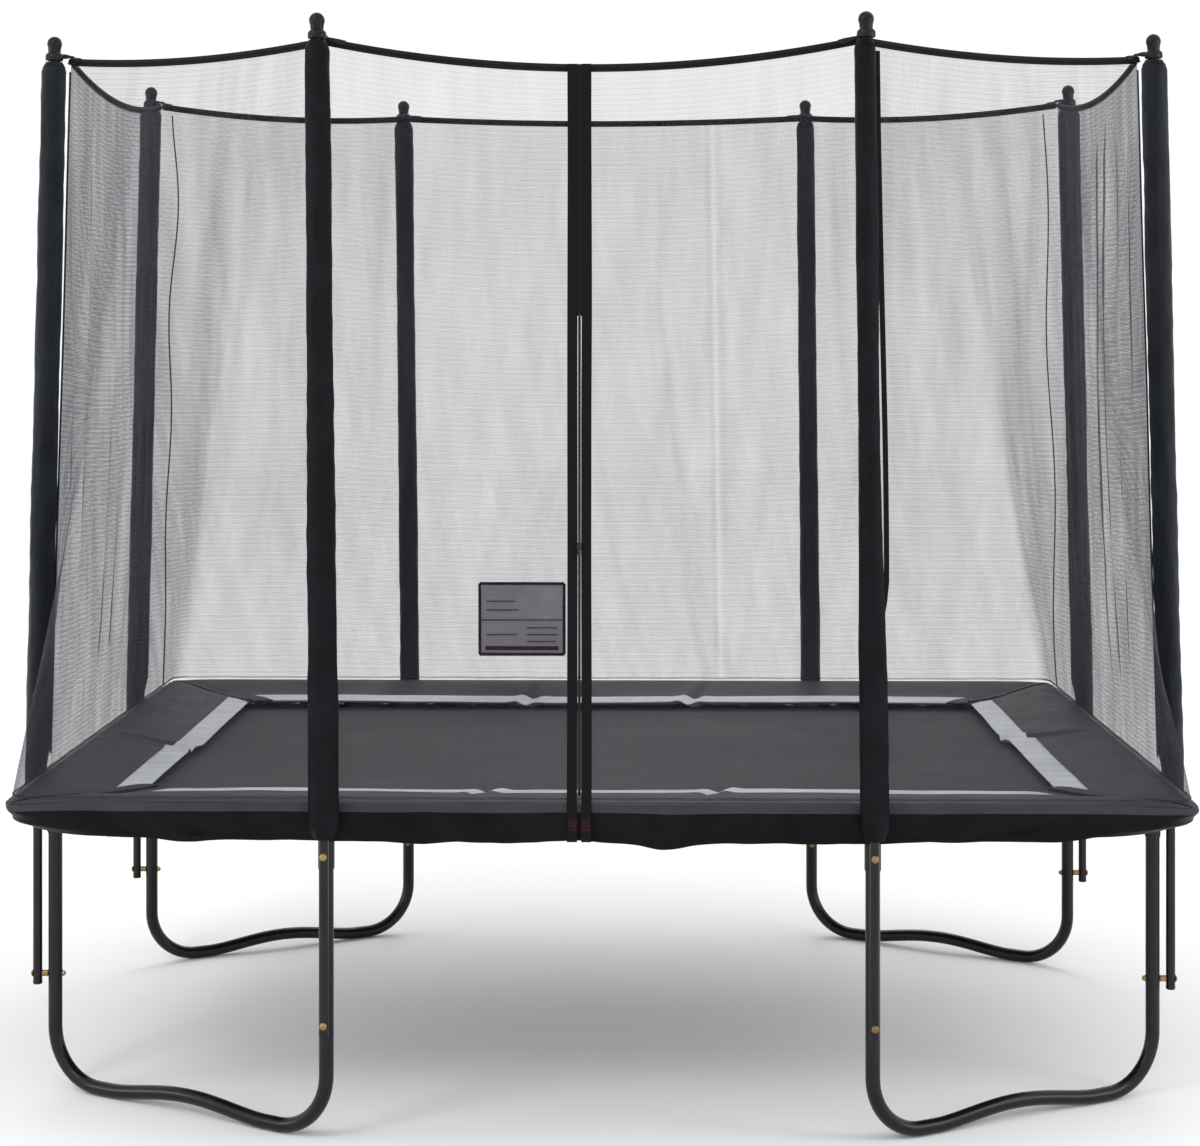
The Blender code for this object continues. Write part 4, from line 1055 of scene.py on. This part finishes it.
def net_point(i, t, v, plain=False):
    """Point of the net at t along span i and v up it, with its folds."""
    foot = net_foot(i, t) + UP * NET_FOOT_Z
    head = cord_at(i, t) - UP * 0.0095
    p = foot.lerp(head, v)
    if plain:
        return p
    run = (net_foot(i, min(1, t + 0.01)) - net_foot(i, max(0, t - 0.01))).lerp(cord_at(i, min(1, t + 0.01)) - cord_at(i, max(0, t - 0.01)), v)
    out = Vector((run.y, -run.x, 0)).normalized()
    span = i + t
    edge = min(1.0, 12 * t, 12 * (1 - t)) * min(1.0, 7 * v) * min(1.0, 9 * (1 - v) + 0.12)
    corner = STATIONS[i % 8][2].dot(STATIONS[(i + 1) % 8][2]) < 0.5
    side = abs(STATIONS[i % 8][2].x) > 0.5 and abs(STATIONS[(i + 1) % 8][2].x) > 0.5
    size = 0.013 if side else 0.010 if corner else 0.005
    waves = 26.0 if side else 18.0 if corner else 9.0
    pleat = math.sin(span * 2 * math.pi * waves * 0.33 + 2.4 * rough(span * 3, v * 1.2, 0, 4)) * (0.55 + rough(span * 2, v * 1.5, 0, 6))
    slack = fold(span * 5.0, v * 1.1, 0.0, 9)
    shift = size * (0.55 * pleat + 1.1 * slack)
    if corner or side:
        shift -= 0.035 * math.sin(math.pi * v) * (0.6 if side else 1.0) * math.sin(math.pi * t)
    crease = 0.0
    if STATIONS[i % 8][2].y > 0.5 and STATIONS[(i + 1) % 8][2].y > 0.5:
        low = 1 - v
        for at, wide, high in (
            (0.356 + 0.031 * low, 0.026, 0.0075),
            (0.160 + 0.190 * max(0.0, low - 0.35) ** 1.4 / 0.547, 0.050, 0.009 * min(1.0, 0.35 + low)),
            (0.560 - 0.160 * low * low, 0.060, 0.008 * low),
        ):
            off = (p.x - at) / wide
            crease += high * max(0.0, 1 - off * off) ** 2
    return p + out * ((-abs(shift) * 0.6 + 0.4 * shift) * edge - crease * min(1.0, 14 * v) * min(1.0, 9 * (1 - v) + 0.12))


def net_panel(name, first, last, look, node):
    rows, uvs = [], []
    levels = 84
    spans = []
    i = first
    while i % 8 != last % 8:
        spans.append(i % 8)
        i += 1
    columns = []
    for s in spans:
        width = (hook_point(s + 1) - hook_point(s)).length
        n = int(width / 0.012)
        columns += [(s, k / n) for k in range(n)]
    columns.append((spans[-1], 1.0))
    for j in range(levels + 1):
        v = j / levels
        row, uv, run = [], [], 0.0
        before = None
        for s, t in columns:
            plain = net_point(s, t, v, True)
            if before is not None:
                run += (plain - before).length
            before = plain
            row.append(net_point(s, t, v))
            uv.append((run, v * 1.93))
        rows.append(row)
        uvs.append(uv)
    widest = max(uv[-1][0] for uv in uvs)
    parts = Parts()
    parts.grid(rows, uv=uvs)
    piece = parts.make(name, look, 0)
    place(piece, "netting", node)
    return widest


def ribbon(parts, spots, ways, width, thick, outs):
    """Flat tape along spots: ways are across it, outs face out of it."""
    rows, uvs, run = [], [], 0.0
    for k, (spot, way, out) in enumerate(zip(spots, ways, outs)):
        if k:
            run += (spot - spots[k - 1]).length
        row = [spot - way * width / 2, spot - way * width / 2 * 0.96 + out * thick, spot + way * width / 2 * 0.96 + out * thick, spot + way * width / 2]
        rows.append(row)
        uvs.append([(0, run), (0.02 * width, run), (width, run), (width * 1.02, run)])
    parts.grid(rows, closed_u=True, uv=uvs, cap=True)


def make_net():
    net_panel("net_front_mesh", 7, 10, NET, "net_front")
    net_panel("net_right_mesh", 2, 3, NET_SIDE, "net_right")
    net_panel("net_back_mesh", 3, 6, NET_BACK, "net_back")
    net_panel("net_left_mesh", 6, 7, NET_SIDE, "net_left")
    # The top cord, in the hooks, with a turned net hem hanging from it.
    points = []
    for i in range(8):
        points += [cord_at(i, k / 36) for k in range(36)]
    cord = Parts()
    cord.tube(points, CORD_R, 12, UP, closed=True)
    place(cord.make("net_top_cord_braid", CORD, 0), "cord", "net_top_cord")
    for i in range(8):
        hem = Parts()
        n = 60
        spots, ways, outs = [], [], []
        for k in range(n + 1):
            t = 0.006 + 0.988 * k / n
            p = cord_at(i, t)
            run = (cord_at(i, min(1, t + 0.01)) - cord_at(i, max(0, t - 0.01)))
            out = Vector((run.y, -run.x, 0)).normalized()
            spots.append(p - UP * 0.0100)
            ways.append(UP)
            outs.append(out)
        ribbon(hem, spots, ways, 0.009, 0.0012, outs)
        place(hem.make(f"net_top_hem_{i}", WEB_DARK), "netting")
    # Foot hem: tape along the net's lower edge.
    foot = Parts()
    rows, uvs, run, before = [[], [], [], []], [[], [], [], []], 0.0, None
    for i in range(8):
        for k in range(44):
            t = k / 44
            p = net_foot(i, t) + UP * NET_FOOT_Z
            q = net_foot(i, min(1, t + 0.02)) - net_foot(i, max(0, t - 0.02))
            out = Vector((q.y, -q.x, 0)).normalized()
            if before is not None:
                run += (p - before).length
            before = p
            dip = 0.0008 * math.sin(31 * run)
            for r, (o, h) in enumerate(((0.0010, 0.0), (0.0010, 0.006), (-0.0010, 0.006), (-0.0010, 0.0))):
                rows[r].append(p + out * o + UP * (h + dip))
                uvs[r].append((run, h))
    foot.grid(rows, closed_u=True, closed_v=True, uv=uvs)
    place(foot.make("net_foot_hem", NET_SIDE), "netting")
    # Vertical tapes where the net meets each pole, tied to the pole's hook.
    for i in range(8):
        tape = Parts()
        spots, ways, outs = [], [], []
        a = net_foot(i, 0.0) + UP * NET_FOOT_Z
        b = hook_point(i) - UP * (NET_HANG + 0.004)
        out = STATIONS[i][2]
        across = out.cross(UP).normalized()
        for k in range(41):
            v = 0.02 + 0.975 * k / 40
            spot = a.lerp(b, v)
            pull = Vector((0.0445 * smooth(0.14, 0.30, v) - 0.002 * math.sin(9 * v), 0, 0)) if i == 1 else Vector((0.040, 0.020, 0)) * (1 + 0.35 * math.sin(v * 17) * v) if i == 6 else Vector((-0.036, 0.019, 0)) * (1 + 0.2 * math.sin(v * 13)) if i == 3 else Vector()
            spots.append(spot + pull + across * (0.0028 * math.sin(v * 11 + i) + 0.006 * rough(v * 4, i, 0, 3)) * (0.3 if i == 1 else 1.0) - out * (0.006 if i in (3, 6) else -0.0008))
            ways.append(across)
            outs.append(out)
        ribbon(tape, spots, ways, 0.014 if i == 1 else 0.018, 0.0012, outs)
        place(tape.make(f"net_tape_{STATIONS[i][0]}", WEB_DARK), "netting")


DOOR_X = -0.050


def door_line():
    foot = Vector((DOOR_X, -HALF_W + NET_EDGE, NET_FOOT_Z))
    head = hook_point(0)
    up = Vector((0, head.y - foot.y, head.z - NET_HANG - foot.z)).normalized()
    out = Vector((1, 0, 0)).cross(up)
    return foot, up, out if out.y < 0 else -out


def make_door():
    foot, up, out = door_line()
    across = Vector((1, 0, 0))

    def along(z):
        return foot + up * ((z - foot.z) / up.z)

    # Two tapes side by side, over the pad's edge and the skirt, with the zip between them.
    levels = [0.776 + (2.765 - 0.776) * k / 150 for k in range(151)]
    for side, name in ((-1, "left"), (1, "right")):
        parts = Parts()
        spots, ways, outs = [], [], []
        for z in levels:
            base = along(z) + out * 0.0048
            if z < 0.93:
                lower = Vector((DOOR_X, -HALF_W - 0.0098, z))
                base = base.lerp(lower, 1 - smooth(0.872, 0.925, z))
            bow = 0.0016 * rough(z * 3.0, side, 0, 7) + 0.0010 * math.sin(z * 6 + side)
            spots.append(base + across * (side * 0.0182 + bow * 0.5))
            ways.append(across)
            outs.append(out)
        ribbon(parts, spots, ways, 0.0262, 0.0020, outs)
        piece = parts.make(f"door_band_{name}", WEB)
        place(piece, "webbing", "door_band")
    # Zip teeth between the tapes, in two interlocked rows.
    teeth = Parts()
    z = 0.905
    k = 0
    while z < 2.125:
        base = along(z) + out * 0.0058
        x = 0.0011 if k % 2 else -0.0011
        w, h = 0.0021, 0.0016
        outline = [base + across * (x - w) - up * h, base + across * (x + w) - up * h, base + across * (x + w) + up * h, base + across * (x - w) + up * h]
        teeth.block(outline, out * 0.0018, 0.0004)
        z += 0.0042
        k += 1
    place(teeth.make("zip_teeth", ZIP, 20), "zip_metal")
    # Fabric tape behind the teeth, and the closed tape above the zip's top stop.
    back = Parts()
    spots = [along(zz) + out * 0.0042 for zz in np.linspace(0.892, 2.125, 60)]
    ribbon(back, spots, [across] * 60, 0.0066, 0.0012, [out] * 60)
    spots = [along(zz) + out * 0.0036 for zz in np.linspace(2.118, 2.755, 30)]
    ribbon(back, spots, [across] * 30, 0.020, 0.0012, [out] * 30)
    place(back.make("zip_tape", WEB_DARK), "webbing")
    # Rows of stitching down both tapes, and the reinforcing patch on the skirt.
    sew = Parts()
    for side in (-1, 1):
        for off in (0.0075, 0.0290):
            zz = 0.800
            while zz < 2.74:
                base = along(zz) + out * 0.0071
                if zz < 0.93:
                    base = base.lerp(Vector((DOOR_X, -HALF_W - 0.0121, zz)), 1 - smooth(0.872, 0.925, zz))
                spot = base + across * side * off
                ribbon(sew, [spot, spot + up * 0.0016 + out * 0.0003, spot + up * 0.0032], [across] * 3, 0.0008, 0.0004, [out] * 3)
                zz += 0.0052
    place(sew.make("door_stitching", WEB_DARK), "webbing")
    bar = Parts()
    for q in range(9):
        zz = 0.806 + q * 0.0034
        for side in (-1, 1):
            centre = Vector((DOOR_X + side * 0.017, -HALF_W - 0.0122, zz))
            ribbon(bar, [centre + across * x for x in (-0.011, -0.004, 0.004, 0.011)], [UP] * 4, 0.0014, 0.0006, [Vector((0, -1, 0))] * 4)
    place(bar.make("door_bar_tack", THREAD), "webbing")


def make_slider():
    low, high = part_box("zip_slider")
    foot, up, out = door_line()
    across = Vector((1, 0, 0))
    origin = Vector(((low[0] + high[0]) / 2, high[1], (low[2] + high[2]) / 2))
    parts = Parts()
    body = [(-0.0066, 0.004), (-0.0056, 0.0125), (-0.003, 0.0165), (0.003, 0.0165), (0.0056, 0.0125), (0.0066, 0.004), (0.0046, -0.003), (0.0034, -0.0055), (-0.0034, -0.0055), (-0.0046, -0.003)]
    parts.block([origin + across * a + up * b + out * 0.0006 for a, b in body], out * 0.0052, 0.0010)
    # Pull tab on its loop.
    loop = [origin + up * (0.004 + 0.0045 * math.cos(a)) + out * (0.0062 + 0.0026 * math.sin(a)) for a in np.linspace(0, math.pi, 12)]
    parts.tube([Vector(p) for p in loop], 0.0011, 8)
    tab = [(-0.0034, -0.001), (-0.0044, -0.008), (-0.0040, -0.0165), (-0.002, -0.0178), (0.002, -0.0178), (0.0040, -0.0165), (0.0044, -0.008), (0.0034, -0.001)]
    parts.block([origin + across * a + up * b + out * 0.0064 for a, b in tab], out * 0.0022, 0.0007)
    place(parts.make("zip_slider_fine", ZIP, 30), "zip_metal", "zip_slider", body="slider")


def make_label():
    """Blank sewn patch on the inside of the back net."""
    x0, x1, z0, z1 = -0.452, -0.158, 0.965, 1.212
    rows, uvs = [], []
    for j in range(25):
        row, uv = [], []
        for i in range(31):
            x = x0 + (x1 - x0) * i / 30
            z = z0 + (z1 - z0) * j / 24
            base_y = HALF_W - NET_EDGE - (z - NET_FOOT_Z) * 0.0152
            row.append(Vector((x, base_y - 0.0075 - 0.0012 * rough(x * 14, z * 14, 0, 2), z)))
            uv.append((x, z))
        rows.append(row)
        uvs.append(uv)
    parts = Parts()
    parts.grid(rows, uv=uvs)
    piece = parts.make("blank_patch", LABEL, 0)
    solid = piece.modifiers.new("thick", "SOLIDIFY")
    solid.thickness = 0.0008
    place(piece, "netting")
    edge = Parts()
    corners = [Vector((x0, 0, z0)), Vector((x1, 0, z0)), Vector((x1, 0, z1)), Vector((x0, 0, z1))]
    for a, b in zip(corners, corners[1:] + corners[:1]):
        spots = []
        for k in range(25):
            p = a.lerp(b, k / 24)
            spots.append(Vector((p.x, HALF_W - NET_EDGE - (p.z - NET_FOOT_Z) * 0.0152 - 0.0094, p.z)))
        way = (b - a).normalized().cross(Vector((0, 1, 0)))
        ribbon(edge, spots, [way] * 25, 0.010, 0.0010, [Vector((0, -1, 0))] * 25)
    place(edge.make("blank_patch_binding", WEB_DARK), "netting")
    lines = Parts()
    for z, a, b in ((1.085, 0.02, 0.98), (1.120, 0.08, 0.46), (1.150, 0.08, 0.42), (1.058, 0.56, 0.92), (1.034, 0.56, 0.92), (1.010, 0.56, 0.90), (1.034, 0.08, 0.44)):
        spots = [Vector((x0 + (x1 - x0) * (a + (b - a) * k / 12), HALF_W - NET_EDGE - (z - NET_FOOT_Z) * 0.0152 - 0.0094, z)) for k in range(13)]
        ribbon(lines, spots, [UP] * 13, 0.0045, 0.0004, [Vector((0, -1, 0))] * 13)
    place(lines.make("blank_patch_rows", WEB_GREY), "netting")
    foot = Parts()
    spots = [Vector((x0 + 0.02 + (x1 - x0 - 0.04) * k / 24, HALF_W - NET_EDGE - (0.985 - NET_FOOT_Z) * 0.0152 - 0.0096, 0.987)) for k in range(25)]
    ribbon(foot, spots, [UP] * 25, 0.014, 0.0006, [Vector((0, -1, 0))] * 25)
    place(foot.make("blank_patch_band", THREAD), "netting")


# ---------------------------------------------------------------------- stage
def make_stage():
    bpy.ops.mesh.primitive_grid_add(x_subdivisions=20, y_subdivisions=20, size=60, location=(0, 0, -0.0006))
    floor = bpy.context.object
    floor.name = "floor"
    floor.data.materials.append(pale_floor())
    scene = bpy.context.scene
    world = bpy.data.worlds.new("studio")
    scene.world = world
    world.use_nodes = True
    back = world.node_tree.nodes["Background"]
    back.inputs["Color"].default_value = (1, 1, 1, 1)
    back.inputs["Strength"].default_value = 1.04
    scene.view_settings.view_transform = "Standard"
    scene.view_settings.look = "None"
    for name, spot, aim, size, power in (
        ("key", (-3.4, -4.2, 5.0), (0, 0, 1.0), 1.6, 55),
        ("fill", (4.4, -2.6, 3.0), (0, 0, 1.2), 1.4, 30),
        ("rim", (0.5, 5.0, 4.5), (0, 0, 1.5), 2.4, 40),
        ("cool_left", (-6.0, -2.2, 1.9), (-1.4, -0.6, 1.5), 1.8, 55),
        ("cool_right", (6.0, -2.2, 1.9), (1.4, -0.6, 1.5), 1.8, 45),
    ):
        data = bpy.data.lights.new(name, "AREA")
        data.shape = "DISK"
        data.size = size
        data.energy = power
        if name.startswith("cool"):
            data.color = (0.72, 0.88, 1.0)
        lamp = bpy.data.objects.new(name, data)
        lamp.location = spot
        lamp.rotation_euler = (Vector(aim) - Vector(spot)).to_track_quat("-Z", "Y").to_euler()
        scene.collection.objects.link(lamp)
    data = bpy.data.cameras.new("camera")
    data.lens = 68.84
    data.sensor_width = 36.0
    data.shift_y = -0.1925
    data.clip_end = 200
    camera = bpy.data.objects.new("camera", data)
    camera.location = (0.105, -6.923, 2.051)
    camera.rotation_euler = (math.radians(90), 0, math.radians(0.998))
    scene.collection.objects.link(camera)
    scene.camera = camera


make_stage()
make_frame()
make_legs()
make_poles()
make_sleeves()
make_caps()
make_bolts()
make_mat()
make_springs()
make_pads()
make_mitres()
make_skirt()
make_net()
make_door()
make_slider()
make_label()
